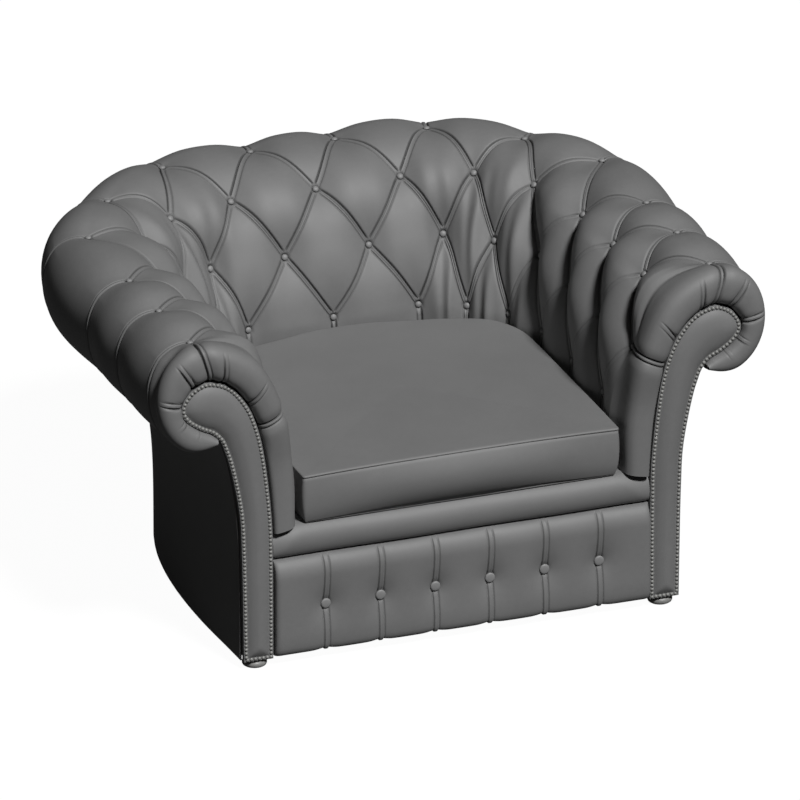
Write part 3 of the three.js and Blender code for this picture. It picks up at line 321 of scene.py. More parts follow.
def facing_line():
    reach = (FACING_HIGH.x - FACING_LOW.x, FACING_HIGH.z - FACING_LOW.z)
    points = np.array(FACING_SHARES) * reach + [FACING_LOW.x, FACING_LOW.z]
    return centripetal(points, FACING_STEPS)


def inset(outline, distance):
    """A closed outline moved inwards, or outwards for a negative distance. The outline runs clockwise."""
    ahead = unit(np.roll(outline, -1, axis=0) - outline)
    behind = np.roll(ahead, 1, axis=0)
    along = unit(ahead + behind)
    inwards = np.column_stack([along[:, 1], -along[:, 0]])
    widen = np.maximum(math.sqrt(0.5), np.sum(along * ahead, axis=1))
    return outline + inwards * (distance / widen)[:, None]


facing_outline = facing_line()

# Arm fronts: rows of the leather led round the facing, with seams and gathers
RING_ROWS = [-1, 0, 1, 2, 3, 4, 5, 6, CREST_ROW + ROLL_ROWS]
RING_FOLLOW_SHARES = [0, 0.2, 0.385, 0.53, 0.657, 0.735, 0.8, 0.88, 1]
SEAM_ROWS = [1, 3]
# Row, depth at which it starts and strength of each gather
GATHERS = [
    (1.62, 0.5, 0.9), (2.6, 0.46, 0.8), (3.8, 0.44, 1.3),
    (4.85, 0.42, 1.1), (5.7, 0.66, 0.6), (6.4, 0.7, 0.4),
]
PANEL_TOP_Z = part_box("outside_back")[1].z
RING_FACE_SHARES = [
    [0, 1], [-0.01, 0.8], [-0.035, 0.6], [-0.04, 0.42], [-0.015, 0.26], [0.06, 0.12], [0.2, 0.03], [0.42, 0],
    [0.68, 0.05], [0.9, 0.24], [1, 0.56],
]
BAND_FACE_SHARES = [
    [0, 1], [0, 0.82], [0.004, 0.64], [0.02, 0.48], [0.06, 0.34], [0.13, 0.24], [0.25, 0.16], [0.44, 0.12],
    [0.7, 0.12], [0.9, 0.16], [1, 0.45],
]
BAND_DROP = 10 * MM
BAND_SLACK = 0.6
RING_END_RISE = 9 * MM
RING_END_TAPER = 0.7
RING_PUFF = 9 * MM
RING_REACH = 70 * MM
RING_SWELL = 40 * MM
SEAM_SOFTNESS = 13 * MM
SEAM_DIP = 0.6
TURN_PLACE = 21 * MM
TURN_WIDTH = 6 * MM
TURN_DIP = 6 * MM
SHOULDER_PLACE = 24 * MM
SHOULDER_WIDTH = 16 * MM
SHOULDER_DIP = 9 * MM
GATHER_DEPTH = 5 * MM
GATHER_WIDTH = 9 * MM
SEAM_STRENGTH = 1.4


def ring_inner(row):
    """Where a row of the arm front's leather meets the facing's edge, as X and Z."""
    edge = spaced_along(inset(facing_outline, -RING_CLEARANCE), 400)
    start = np.argmax(edge[:, 1] > SEAT_Z)
    end = len(edge) - 1 - np.argmax(edge[::-1, 1] > PANEL_TOP_Z + RING_END_RISE)
    share = np.interp(row, RING_ROWS, RING_FOLLOW_SHARES)
    place = start + share * (end - start)
    index = np.arange(len(edge))
    return np.column_stack([np.interp(place, index, edge[:, 0]), np.interp(place, index, edge[:, 1])])


def ring_level(row, depth):
    """The arm front's smooth surface, from the roll at depth 0 to the facing at depth 1."""
    outer = button_level(np.full(len(row), FRONT_COLUMN), row)
    inner = ring_inner(row)
    place = depth * (len(RING_FACE_SHARES) - 1)
    face = smooth_through(np.array(RING_FACE_SHARES, float), place)
    band = smooth_through(np.array(BAND_FACE_SHARES, float), place)
    face = band + (face - band) * ramp(0.2, 1.2, row)[:, None]
    across = outer[:, [0, 2]] + face[:, :1] * (inner - outer[:, [0, 2]])
    y = FRONT_Y + face[:, 1] * (outer[:, 1] - FRONT_Y)
    z = across[:, 1] - BAND_DROP * face[:, 0] * (1 - ramp(-1, -0.1, row))
    return np.column_stack([across[:, 0], y, z])


def level(column, row):
    """The smooth surface under the puffs. Columns before the front one lie on the arm front."""
    depth = np.clip(FRONT_COLUMN - column, 0, 1)
    whole = button_level(np.maximum(column, FRONT_COLUMN), row)
    return np.where((column < FRONT_COLUMN)[:, None], ring_level(row, depth), whole)


PROBE = 0.004


def level_frame(column, row):
    """The smooth surface's points, its steps along columns and rows, and its outward normals."""
    along = (level(column + PROBE, row) - level(column - PROBE, row)) / (2 * PROBE)
    low, high = np.maximum(row - PROBE, -1), np.minimum(row + PROBE, CREST_ROW + ROLL_ROWS)
    up = (level(column, high) - level(column, low)) / (high - low)[:, None]
    return level(column, row), along, up, unit(np.cross(up, along))


def grooves(distance):
    """A pleat's grooves, 1 at the bottom of the deep one above its fold, less in the faint one below."""
    edge = FOLD_HALF_WIDTH + 0.8 * GROOVE_WIDTH
    return bell(distance - edge, GROOVE_WIDTH) + FAINT_GROOVE * bell(distance + edge, GROOVE_WIDTH)


def fold(distance):
    """A pleat's section: a soft raised fold between its grooves."""
    return FOLD_HEIGHT * bell(distance, FOLD_HALF_WIDTH, 4) - GROOVE_DEPTH * grooves(distance)


def off_whole(value):
    """Signed distance to the nearest whole number."""
    return value - np.round(value)


BUTTON_CLEAR = 4 * MM
BUTTON_MARGIN = 0.4
FOLD_FULL = 15 * MM
DRAPE_HEIGHT = 4.5 * MM
DRAPE_COLUMN = 8.6
DRAPE_REACH = 2.3
ARM_ENDS, BACK_STARTS = 6.6, 8.2


def drape(column, row):
    """Soft upright folds in the narrow diamonds at the two back corners."""
    side, _ = right_half(column)
    corner = bell(side - DRAPE_COLUMN, DRAPE_REACH)
    upright = ramp(-1, -0.2, row) * (1 - ramp(1.7, 2.5, row))
    lines = np.sin(2.1 * math.pi * side + 0.5 * row) + 0.6 * np.sin(3.3 * math.pi * side - 0.9 * row + 1)
    return DRAPE_HEIGHT * corner * upright * lines / 1.6


def on_arm(column):
    """1 on the arms, 0 on the back, smooth between them."""
    side, _ = right_half(column)
    return 1 - ramp(ARM_ENDS, BACK_STARTS, side)


def cross_pleat(column, row):
    """How plain the pleats that run down and back are: faint on the arms below the second row."""
    return 1 - (1 - ARM_CROSS_PLEAT) * on_arm(column) * (1 - ramp(1.75, 2.05, row))


def puff(column, row):
    """How far the leather stands over the button level between its pleats. Its ramps run over rows."""
    inside = np.clip(column, 0, LAST_COLUMN)
    field_row = np.clip(row, 0, CREST_ROW)
    p = (inside + field_row - 1) / 2
    q = (inside - field_row - 1) / 2
    across_p = np.abs(np.sin(math.pi * p))
    across_p = across_p + ARM_THROUGH * (1 - cross_pleat(column, row)) * (1 - across_p)
    crown = across_p * np.abs(np.sin(math.pi * q))
    pleat = (1 - (np.cos(math.pi * p) * np.cos(math.pi * q)) ** 2) ** PLEAT_ROUNDNESS
    below, above = row < 0, row > CREST_ROW
    away = np.clip(np.where(below, -row, row - CREST_ROW), 0, 1)
    outside = below | above
    pleat = np.where(outside, 1 - (1 - pleat) * (1 - away), pleat)
    field = LOW_PUFF + (PUFF - LOW_PUFF) * ramp(0, 1.1, row) - (PUFF - CREST_PUFF) * ramp(2, 3, row)
    field = field + ARM_PUFF * on_arm(column) * ramp(0.3, 1.2, row) * (1 - ramp(2, 3, row))
    full = field + (np.where(below, SEAT_PUFF, ROLL_PUFF) - field) * np.where(outside, away, 0)
    over_roll = np.where(above, away, 0)
    diamond = 1 - (1 - cross_pleat(column, row)) / (1 - ARM_CROSS_PLEAT)
    sharpness = PUFF_SHARPNESS + (ARM_SHARPNESS - PUFF_SHARPNESS) * on_arm(column)
    sharpness = sharpness + (ROLL_SHARPNESS - sharpness) * over_roll
    rise = ARM_RISE + (PLEAT_RISE - ARM_RISE) * diamond * ramp(-1, 0.3, row)
    rise = rise + (ROLL_RISE - rise) * over_roll
    rise = rise + (ROLL_PUFF + BUTTON_SINK - rise) * ramp(5, 6.6, row)
    up_the_diamond = ((p - np.floor(p)) + 1 - (q - np.floor(q))) / 2
    belly = 1 + BELLY * diamond * np.where(outside, 0, np.cos(math.pi * up_the_diamond))
    height = rise * pleat + (full - rise + BUTTON_SINK) * belly * crown**sharpness
    return height - BUTTON_SINK + drape(column, row) * crown**PUFF_SHARPNESS


def pleats(column, row, along, up, section):
    """A section drawn along all pleats, which join the buttons and run on over the roll and to the seat."""
    p, q = (column + row - 1) / 2, (column - row - 1) / 2
    area = 2 * np.linalg.norm(np.cross(along, up), axis=1)
    p_step, q_step = np.linalg.norm(along + up, axis=1), np.linalg.norm(along - up, axis=1)
    column_step, row_step = np.linalg.norm(along, axis=1), np.linalg.norm(up, axis=1)
    field = (row >= 0) & (row <= CREST_ROW) & (column >= 0) & (column <= LAST_COLUMN)
    from_p = off_whole(p) * area / q_step
    from_q = off_whole(q) * area / p_step
    to_button_on_p = np.abs(off_whole(q)) * q_step
    to_button_on_q = np.abs(off_whole(p)) * p_step
    first = section(from_p) * ramp(BUTTON_CLEAR, FOLD_FULL, to_button_on_p)
    second = section(-from_q) * ramp(BUTTON_CLEAR, FOLD_FULL, to_button_on_q)
    right = column <= LAST_COLUMN / 2
    first *= np.where(right, cross_pleat(column, row), 1)
    second *= np.where(right, 1, cross_pleat(column, row))
    inner = np.where(field, first + second, 0)
    side = np.where(right, -1, 1)
    to_seat = off_whole((column - 1) / 2) * 2 * column_step * side
    seat = np.where(row < 0, section(to_seat) * ramp(BUTTON_CLEAR, FOLD_FULL, -row * row_step), 0)
    over = off_whole(column / 2) * 2 * column_step * side
    over_roll = (row > CREST_ROW) & (column > -1) & (column < LAST_COLUMN + 1)
    roll = np.where(over_roll, section(over) * ramp(BUTTON_CLEAR, FOLD_FULL, (row - CREST_ROW) * row_step), 0)
    return inner + seat + roll


def hollows(column, row, along, up):
    """The small hollow under each button, 1 at its middle."""
    p, q = off_whole((column + row - 1) / 2), off_whole((column - row - 1) / 2)
    to_button = np.linalg.norm(p[:, None] * (along + up) + q[:, None] * (along - up), axis=1)
    in_rows = (row > -BUTTON_MARGIN) & (row < CREST_ROW + BUTTON_MARGIN)
    in_columns = (column > -BUTTON_MARGIN) & (column < LAST_COLUMN + BUTTON_MARGIN)
    return np.where(in_rows & in_columns, bell(to_button, HOLLOW_RADIUS, 4), 0)


def gathers(column, row, up, section, pull):
    """Seams and short creases that run in from the facing over the arm front, with a section and a pull."""
    depth = FRONT_COLUMN - column
    row_step = np.linalg.norm(up, axis=1)
    total = np.zeros(len(row))
    for seam in SEAM_ROWS:
        reach = ramp(BUTTON_CLEAR, FOLD_FULL, -column * COLUMN_PITCH)
        line = SEAM_STRENGTH * section((row - seam) * row_step)
        total += np.where(column < 0, line, 0) * np.where(column < FRONT_COLUMN, 1, reach)
    for gather, start, strength in GATHERS:
        away = (row - gather) * row_step
        total += strength * section(away) * ramp(start, start + 0.3, depth)
        total -= strength * pull * bell(away, GATHER_WIDTH) * ramp(start + 0.08, 1, depth)
    return total


def leather(column, row):
    """Points on the tufted leather, arm fronts included, on the right half and the back."""
    point, along, up, normal = level_frame(column, row)
    depth = np.clip(FRONT_COLUMN - column, 0, 1)
    row_step = np.linalg.norm(up, axis=1)
    column_step = np.linalg.norm(level(np.zeros(1), np.full(1, 3.0)) - level(np.ones(1), np.full(1, 3.0)))
    ahead = -np.clip(column, FRONT_COLUMN, 0) * column_step + depth * RING_REACH
    swell = np.sin(math.pi / 2 * np.clip(ahead / RING_SWELL, 0, 1)) ** 1.2
    dip = sum(bell((row - seam) * row_step, SEAM_SOFTNESS) for seam in SEAM_ROWS)
    taper = RING_END_TAPER * ramp(6.3, 7.3, row) * ramp(0.1, 0.5, depth)
    ring = RING_PUFF * (1 - SEAM_DIP * dip) * (1 - taper)
    ring = ring * (1 - BAND_SLACK * (1 - ramp(0, 1, row)))
    turn = bell(ahead - TURN_PLACE, TURN_WIDTH)
    ring = ring - TURN_DIP * turn * ramp(1, 1.4, row) * (1 - ramp(2.6, 3, row))
    shoulder = bell(ahead - SHOULDER_PLACE, SHOULDER_WIDTH)
    ring = ring - SHOULDER_DIP * shoulder * ramp(3, 3.8, row)
    height = puff(np.maximum(column, 0), row)
    height = height + (ring - height) * swell
    near = np.maximum(column, FRONT_COLUMN)
    sewn = pleats(near, row, along, up, fold) - HOLLOW_DEPTH * hollows(near, row, along, up)
    height = height + sewn * (1 - ramp(0, 0.1, depth))
    height = (height + gathers(column, row, up, fold, GATHER_DEPTH)) * (1 - ramp(0.8, 1, depth))
    return point + normal * height[:, None]


def creases(column, row):
    """How deep each point of the tufted leather lies in a crease, 0 to 1. Shade is painted there: the
    leather's colour is darkened by this amount in the grooves, button hollows and gathers.
    """
    column, _ = right_half(column)
    _, along, up, _ = level_frame(column, row)
    depth = np.clip(FRONT_COLUMN - column, 0, 1)
    near = np.maximum(column, FRONT_COLUMN)
    sewn = pleats(near, row, along, up, grooves) + 0.8 * hollows(near, row, along, up)
    drawn = gathers(column, row, up, grooves, 0) * (1 - ramp(0.9, 1, depth))
    return np.clip(sewn * (1 - ramp(0, 0.1, depth)) + drawn, 0, 1)


# Meshes


CREASE_ANGLE = 50


def add_piece(name, points, faces, crease=CREASE_ANGLE):
    """A closed mesh piece, faces turned out, smooth but for edges that turn by more than its crease angle."""
    mesh = bpy.data.meshes.new(name)
    mesh.from_pydata([tuple(p) for p in points], [], [tuple(int(i) for i in f) for f in faces])
    mesh.validate()
    mesh.update()
    piece = in_scene(name, mesh)
    mesh.shade_smooth()
    mesh.set_sharp_from_angle(angle=math.radians(crease))
    work = bmesh.new()
    work.from_mesh(mesh)
    bmesh.ops.recalc_face_normals(work, faces=work.faces)
    if work.calc_volume(signed=True) < 0:
        bmesh.ops.reverse_faces(work, faces=work.faces)
    work.to_mesh(mesh)
    work.free()
    return piece


def rim_of(faces):
    """Directed edges that only one face uses."""
    seen = {}
    for face in faces:
        for a, b in zip(face, face[1:] + face[:1]):
            seen[(a, b)] = True
    return [(a, b) for a, b in seen if (b, a) not in seen]


def closed_between(front, back, faces):
    """Points and faces of a closed pad with a front and a back of the same layout."""
    count = len(front)
    turned = [tuple(count + i for i in reversed(f)) for f in faces]
    sides = [(b, a, count + a, count + b) for a, b in rim_of(faces)]
    return np.vstack([front, back]), list(faces) + turned + sides


def grid_faces(rows, columns):
    """Quads of a grid of points stored row by row."""
    return [
        (i * columns + j, i * columns + j + 1, (i + 1) * columns + j + 1, (i + 1) * columns + j)
        for i in range(rows - 1)
        for j in range(columns - 1)
    ]


def shade_as(piece, normals):
    """Shades the first points of a piece by given normals, so that pieces which meet show no seam."""
    rest = len(piece.data.vertices) - len(normals)
    piece.data.normals_split_custom_set_from_vertices(np.vstack([normals, np.zeros((rest, 3))]))


def paint_crease_shade(piece, depths):
    """Keeps how deep the first points of a piece lie in its creases, as the amount of shade painted into the
    leather's colour there.
    """
    rest = len(piece.data.vertices) - len(depths)
    shade = piece.data.attributes.new("painted_crease_shade_depth", "FLOAT", "POINT")
    shade.data.foreach_set("value", np.concatenate([depths, np.zeros(rest)]))


def dress(piece, body, slot, material, *nodes):
    """Puts a finished piece on its body, with its finish, in place of CAD nodes."""
    piece.data.materials.clear()
    piece.data.materials.append(material)
    if nodes:
        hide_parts(*nodes)
    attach(piece, body)


# Steps across half a pleat-to-pleat span, fine at the pleat. They repeat the other way to the next pleat.
HALF_STEPS = [
    0, 0.01, 0.018, 0.023, 0.028, 0.033, 0.038, 0.044, 0.052, 0.066, 0.09, 0.12, 0.16, 0.21, 0.265, 0.32,
    0.38, 0.44, 0.5,
]
SPAN_STEPS = HALF_STEPS + [1 - s for s in HALF_STEPS[-2:0:-1]]
SEAT_STEPS = 12
ROLL_STEPS = 44


def stepped(first, last, spacing=1.0, origin=0.0):
    """The steps between two places, repeated at a spacing from an origin."""
    values = []
    start = math.floor((first - origin) / spacing) - 1
    end = math.ceil((last - origin) / spacing) + 1
    for k in range(start, end):
        values += [origin + (k + s) * spacing for s in SPAN_STEPS]
    return [v for v in values if first - TINY <= v <= last + TINY]


def tufted_layout():
    """Columns and rows of the tufted leather's points, and its faces. Diamonds follow the pleats."""
    places = {}
    faces = []
    parts = 10000

    def at(column, row):
        key = (round(column * parts), round(row * parts))
        if key not in places:
            places[key] = len(places)
        return places[key]

    def in_field(column, row):
        return -TINY <= row <= CREST_ROW + TINY and -TINY <= column <= LAST_COLUMN + TINY

    front = [-2 * s for s in HALF_STEPS if -2 * s > FRONT_COLUMN + 0.02]
    front = [FRONT_COLUMN] + front[::-1]
    far = [LAST_COLUMN - c for c in front[::-1]]
    below = list(np.linspace(-1, 0, SEAT_STEPS + 1))
    above = list(np.linspace(CREST_ROW, CREST_ROW + ROLL_ROWS, ROLL_STEPS + 1))
    field = stepped(0, CREST_ROW, 2, 1)
    for columns, rows in (
        (front, below), (far, below), (stepped(0, LAST_COLUMN, 2, 1), below),
        (front, above), (far, above), (stepped(0, LAST_COLUMN, 2, 0), above), (front, field), (far, field),
    ):
        for a, b in zip(columns, columns[1:]):
            for c, d in zip(rows, rows[1:]):
                faces.append((at(a, c), at(b, c), at(b, d), at(a, d)))
    steps = stepped(-2, LAST_COLUMN)
    for p0, p1 in zip(steps, steps[1:]):
        for q0, q1 in zip(steps, steps[1:]):
            cell = [(p + q + 1, p - q) for p, q in ((p0, q0), (p0, q1), (p1, q1), (p1, q0))]
            kept = [(c, r) for c, r in cell if in_field(c, r)]
            if len(kept) >= 3:
                faces.append(tuple(at(c, r) for c, r in kept))
    grid = np.array(list(places)) / parts
    return grid[:, 0], grid[:, 1], faces


def mirrored_leather(column, row):
    """The leather on both halves: the left half mirrors the right one."""
    near, turn = right_half(column)
    points = leather(near, row)
    points[:, 0] *= turn
    return points


def normals_of_leather(column, row):
    """The normals of the puffed and pleated leather itself."""
    along = mirrored_leather(column + PROBE / 2, row) - mirrored_leather(column - PROBE / 2, row)
    low, high = np.maximum(row - PROBE / 2, -1), np.minimum(row + PROBE / 2, CREST_ROW + ROLL_ROWS)
    up = mirrored_leather(column, high) - mirrored_leather(column, low)
    return unit(np.cross(up, along))


def smooth_back(column, row, thickness):
    """The hidden back of a pad, a thickness behind the smooth surface."""
    near, turn = right_half(column)
    point, _, _, normal = level_frame(near, row)
    back = point - normal * thickness
    back[:, 0] *= turn
    return back


def add_tufted_leather(material):
    column, row, faces = tufted_layout()
    front = mirrored_leather(column, row)
    points, faces = closed_between(front, smooth_back(column, row, PAD_THICKNESS), faces)
    piece = add_piece("tufted_inside", points, faces)
    shade_as(piece, normals_of_leather(column, row))
    # Shade is painted into the leather's colour along its creases.
    paint_crease_shade(piece, creases(column, row))
    dress(piece, "chair", "leather", material, "inside_back", "inside_arm_right", "inside_arm_left")


RING_DEPTH_STEPS = 40
RING_THICKNESS = 9 * MM
RING_THINNING = 0.7
ROW_STEP, FINE_ROW_STEP, FINE_ROW_REACH = 0.06, 0.011, 0.085


def clustered(first, last, step, fine_step, centres, reach):
    """Values from first to last, closer together near the centres."""
    values = list(np.arange(first, last, step))
    for centre in centres:
        values += list(np.arange(centre - reach, centre + reach + fine_step / 2, fine_step))
    values = sorted(v for v in values + [last] if first <= v <= last)
    kept = [values[0]]
    for v in values[1:]:
        if v - kept[-1] > fine_step * 0.6:
            kept.append(v)
    kept[-1] = last
    return np.array(kept)


def add_arm_fronts(material):
    drawn = SEAM_ROWS + [gather for gather, _, _ in GATHERS]
    rows = clustered(-1, CREST_ROW + ROLL_ROWS, ROW_STEP, FINE_ROW_STEP, drawn, FINE_ROW_REACH)
    depths = np.linspace(0, 1, RING_DEPTH_STEPS + 1)
    row, depth = crossed(rows, depths)
    column = FRONT_COLUMN - depth
    front = leather(column, row)
    point, _, _, normal = level_frame(column, row)
    thickness = RING_THICKNESS * (1 - RING_THINNING * ramp(0.7, 1, depth))
    back = point - normal * thickness[:, None]
    points, faces = closed_between(front, back, grid_faces(len(rows), len(depths)))
    normals = normals_of_leather(column, row)
    for side, name in SIDES:
        piece = add_piece(f"gathered_arm_front_{name}", points * [side, 1, 1], faces)
        shade_as(piece, normals * [side, 1, 1])
        # Shade is painted into the leather's colour along its creases.
        paint_crease_shade(piece, creases(column, row))
        dress(piece, "chair", "leather", material, f"arm_front_{name}")


# Covered buttons
BUTTON_SECTION = [
    [0, 0.6], [0.38, 0.56], [0.7, 0.43], [0.91, 0.24], [1, 0.04], [0.97, -0.12], [0.8, -0.25], [0, -0.3],
]
APRON_BUTTON_SECTION = [
    [0, 0.22], [0.4, 0.21], [0.7, 0.18], [0.87, 0.13], [0.96, 0.05], [1, -0.06], [0.97, -0.16], [0.8, -0.26],
    [0, -0.3],
]
BUTTON_SIDES = 24
BUTTON_SHANK = 0.6 * MM


def lathe(section, size, sides):
    """A turned form about +Z from its section, pairs of radius and height that start and end on the axis."""
    section = np.asarray(section, float) * size
    middle = section[1:-1]
    angles = np.arange(sides) * 2 * math.pi / sides
    rings = [np.column_stack([r * np.cos(angles), r * np.sin(angles), np.full(sides, z)]) for r, z in middle]
    points = np.vstack([[[0, 0, section[0, 1]]], *rings, [[0, 0, section[-1, 1]]]])
    faces = []
    for j in range(sides):
        k = (j + 1) % sides
        faces.append((0, 1 + j, 1 + k))
        for i in range(len(middle) - 1):
            a, b = 1 + i * sides, 1 + (i + 1) * sides
            faces.append((a + j, b + j, b + k, a + k))
        last = 1 + (len(middle) - 1) * sides
        faces.append((len(points) - 1, last + k, last + j))
    return points, faces


def stood_at(points, place, normal):
    """Points about +Z turned to a normal and moved to a place."""
    turn = Vector((0, 0, 1)).rotation_difference(Vector(normal)).to_matrix()
    return points @ np.array(turn).T + place


def merged(parts):
    """One set of points and faces out of several."""
    points, faces, start = [], [], 0
    for part_points, part_faces in parts:
        points.append(part_points)
        faces += [tuple(i + start for i in f) for f in part_faces]
        start += len(part_points)
    return np.vstack(points), faces


def add_tuft_buttons(material):
    form, faces = lathe(BUTTON_SECTION, TUFT_BUTTON_RADIUS, BUTTON_SIDES)
    for row, name in ((3, "crest"), (2, "second"), (1, "third"), (0, "fourth")):
        columns = np.arange((row + 1) % 2, LAST_COLUMN + 1, 2, dtype=float)
        near, turn = right_half(columns)
        place, _, _, normal = level_frame(near, np.full(len(columns), float(row)))
        place[:, 0] *= turn
        normal[:, 0] *= turn
        place += normal * (BUTTON_SHANK - BUTTON_SINK)
        parts = [(stood_at(form, p, n), faces) for p, n in zip(place, normal)]
        piece = add_piece(f"covered_buttons_{name}_row", *merged(parts))
        dress(piece, "chair", "button_leather", material)


# Facings: covered board, raised panel and nails
NAIL_PITCH = 7.6 * MM
NAIL_RADIUS = 3.5 * MM
NAIL_INSET = 4.5 * MM
NAIL_SIDES = 12
PANEL_INSET = 8.6 * MM
PANEL_SLOPE = 0.06
PANEL_STEPS = 150
BOARD_CREASE_ANGLE = 20
BOARD_EDGE_SOFTNESS = 1 * MM
PANEL_GAP = 0.2 * MM
RIM_STEPS = 700
PANEL_EDGE = 11 * MM
NAIL_SECTION = [[0, 0.85], [0.42, 0.76], [0.76, 0.5], [0.95, 0.18], [1, 0], [0, -0.1]]
ACROSS_STEPS = [0, 0.012, 0.03, 0.055, 0.09, 0.14, 0.2, 0.28, 0.38, 0.5]


def swept(rings):
    """Points and faces of a closed form through rings of as many points each, with its two ends."""
    count = len(rings[0])
    faces = []
    for start in range(0, (len(rings) - 1) * count, count):
        for j in range(count):
            k = (j + 1) % count
            faces.append((start + j, start + k, start + count + k, start + count + j))
    last = (len(rings) - 1) * count
    return np.vstack(rings), faces + [tuple(range(count)), tuple(range(last, last + count))]


def upright(flat, y, side):
    """Points of the X-Z plane stood at y, on the right or the left."""
    return np.column_stack([flat[:, 0] * side, np.broadcast_to(y, len(flat)), flat[:, 1]])


def facing_board(side):
    soft, front = BOARD_EDGE_SOFTNESS, FACING_LOW.y
    steps = ((0, FACING_HIGH.y), (0, front + soft), (0.3 * soft, front + 0.3 * soft), (soft, front))
    return swept([upright(inset(facing_outline, inwards), y, side) for inwards, y in steps])


def facing_panel(side):
    edge = inset(facing_outline, PANEL_INSET)
    tip = FACING_TIP * FACING_STEPS
    inner = spaced_along(edge[: tip + 1], PANEL_STEPS)
    outer = spaced_along(edge[tip:][::-1], PANEL_STEPS)
    across = np.array(ACROSS_STEPS + [1 - s for s in ACROSS_STEPS[-2::-1]])
    flat = inner[:, None] + across[None, :, None] * (outer - inner)[:, None]
    flat = flat.reshape(-1, 2)
    rim = spaced_along(np.vstack([edge, edge[:1]]), RIM_STEPS)
    off_edge = np.min(np.linalg.norm(flat[:, None] - rim[None], axis=2), axis=1)
    rise = (FACING_LOW.y - FRONT_Y) * (1 - np.exp(-off_edge / PANEL_EDGE)) + PANEL_SLOPE * off_edge
    front = upright(flat, FACING_LOW.y - rise, side)
    back = upright(flat, FACING_LOW.y - PANEL_GAP, side)
    return closed_between(front, back, grid_faces(PANEL_STEPS, len(across)))


def facing_nails(side):
    line = inset(facing_outline, NAIL_INSET)
    line = np.vstack([line, line[:1]])
    length = np.sum(np.linalg.norm(np.diff(line, axis=0), axis=1))
    count = round(length / NAIL_PITCH)
    form, faces = lathe(NAIL_SECTION, NAIL_RADIUS, NAIL_SIDES)
    places = spaced_along(line, count + 1)[:-1]
    return merged((stood_at(form, (x * side, FACING_LOW.y, z), (0, -1, 0)), faces) for x, z in places)


def add_facings(covered, metal):
    for side, name in SIDES:
        board = add_piece(f"facing_{name}", *facing_board(side), crease=BOARD_CREASE_ANGLE)
        dress(board, "chair", "leather", covered, f"facing_board_{name}")
        panel = add_piece(f"padded_facing_panel_{name}", *facing_panel(side))
        dress(panel, "chair", "leather", covered, f"facing_panel_{name}")
        nails = add_piece(f"facing_nails_{name}", *facing_nails(side))
        dress(nails, "chair", "nail_metal", metal, f"nail_strip_{name}")


# Seat lip and apron
LIP_LOW, LIP_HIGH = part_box("lip_roll")
APRON_LOW, APRON_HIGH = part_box("front_apron")
LIP_SECTION = [
    [1, 0], [0.42, 0], [0.26, 0.025], [0.13, 0.11], [0.045, 0.26], [0.005, 0.45], [0.015, 0.64], [0.08, 0.81],
    [0.2, 0.94], [0.36, 0.99], [0.58, 1], [1, 1],
]
LIP_END_DROP = 0.03
LIP_END = 60 * MM
LIP_BEVEL = 0.2
LIP_FRONT_SETBACK = 5 * MM
LIP_BEVEL_SOFTNESS = 4 * MM
PLEAT_COUNT = 6
PLEAT_PITCH = 106 * MM
PLEAT_FOLD = 4.6 * MM
PLEAT_FOLD_RISE = 1.9 * MM
PLEAT_GROOVE = 2.2 * MM
PLEAT_GROOVE_WIDTH = 1.4 * MM
APRON_HOLLOW = 1.6 * MM
APRON_PUFF = 3.5 * MM
APRON_BUTTON_Z = 110 * MM
APRON_BUTTON_SINK = 6.8 * MM
APRON_PLANE = APRON_LOW.y - 4 * MM
DIMPLE_DEPTH = 12 * MM
DIMPLE_RADIUS = 26 * MM
APRON_SIDE_GAP = 2 * MM
APRON_BACK_GAP = 2 * MM
APRON_TOP_ROLL = 22 * MM
APRON_TOP_TALL = 35 * MM
APRON_TUCK = 3.5 * MM
APRON_TUCK_TALL = 45 * MM
APRON_BOTTOM_ROLL, APRON_BOTTOM_TALL = 6 * MM, 12 * MM
APRON_END_ROLL, APRON_END_WIDTH = 7 * MM, 10 * MM
HEM_LIFT = 3 * MM
HEM_REACH = 15 * MM
LIP_SECTION_STEPS = 40
LIP_END_RUN = LIP_END + 15 * MM
LIP_END_STATIONS, LIP_STATIONS = 24, 60
LIP_SWAY = 1.2 * MM
LIP_WAVES = 21

# Where the apron's points lie: mm to each side of a pleat, mm in from its ends, and shares of its height
PLEAT_STEPS = [0, 1, 2, 3, 3.8, 4.5, 5.2, 5.9, 6.6, 7.3, 8, 9, 10.5, 13, 16, 20, 25, 31, 38, 45, 53]
END_STEPS = [0, 0.6, 1.5, 3, 5, 8, 12, 18, 26, 36]
UP_STEPS = np.concatenate([
    [0, 0.006, 0.016, 0.03, 0.05, 0.08], np.linspace(0.12, 0.8, 40),
    [0.83, 0.86, 0.89, 0.92, 0.945, 0.965, 0.98, 0.99, 1],
])

pleat_middles = [(i - (PLEAT_COUNT - 1) / 2) * PLEAT_PITCH for i in range(PLEAT_COUNT)]


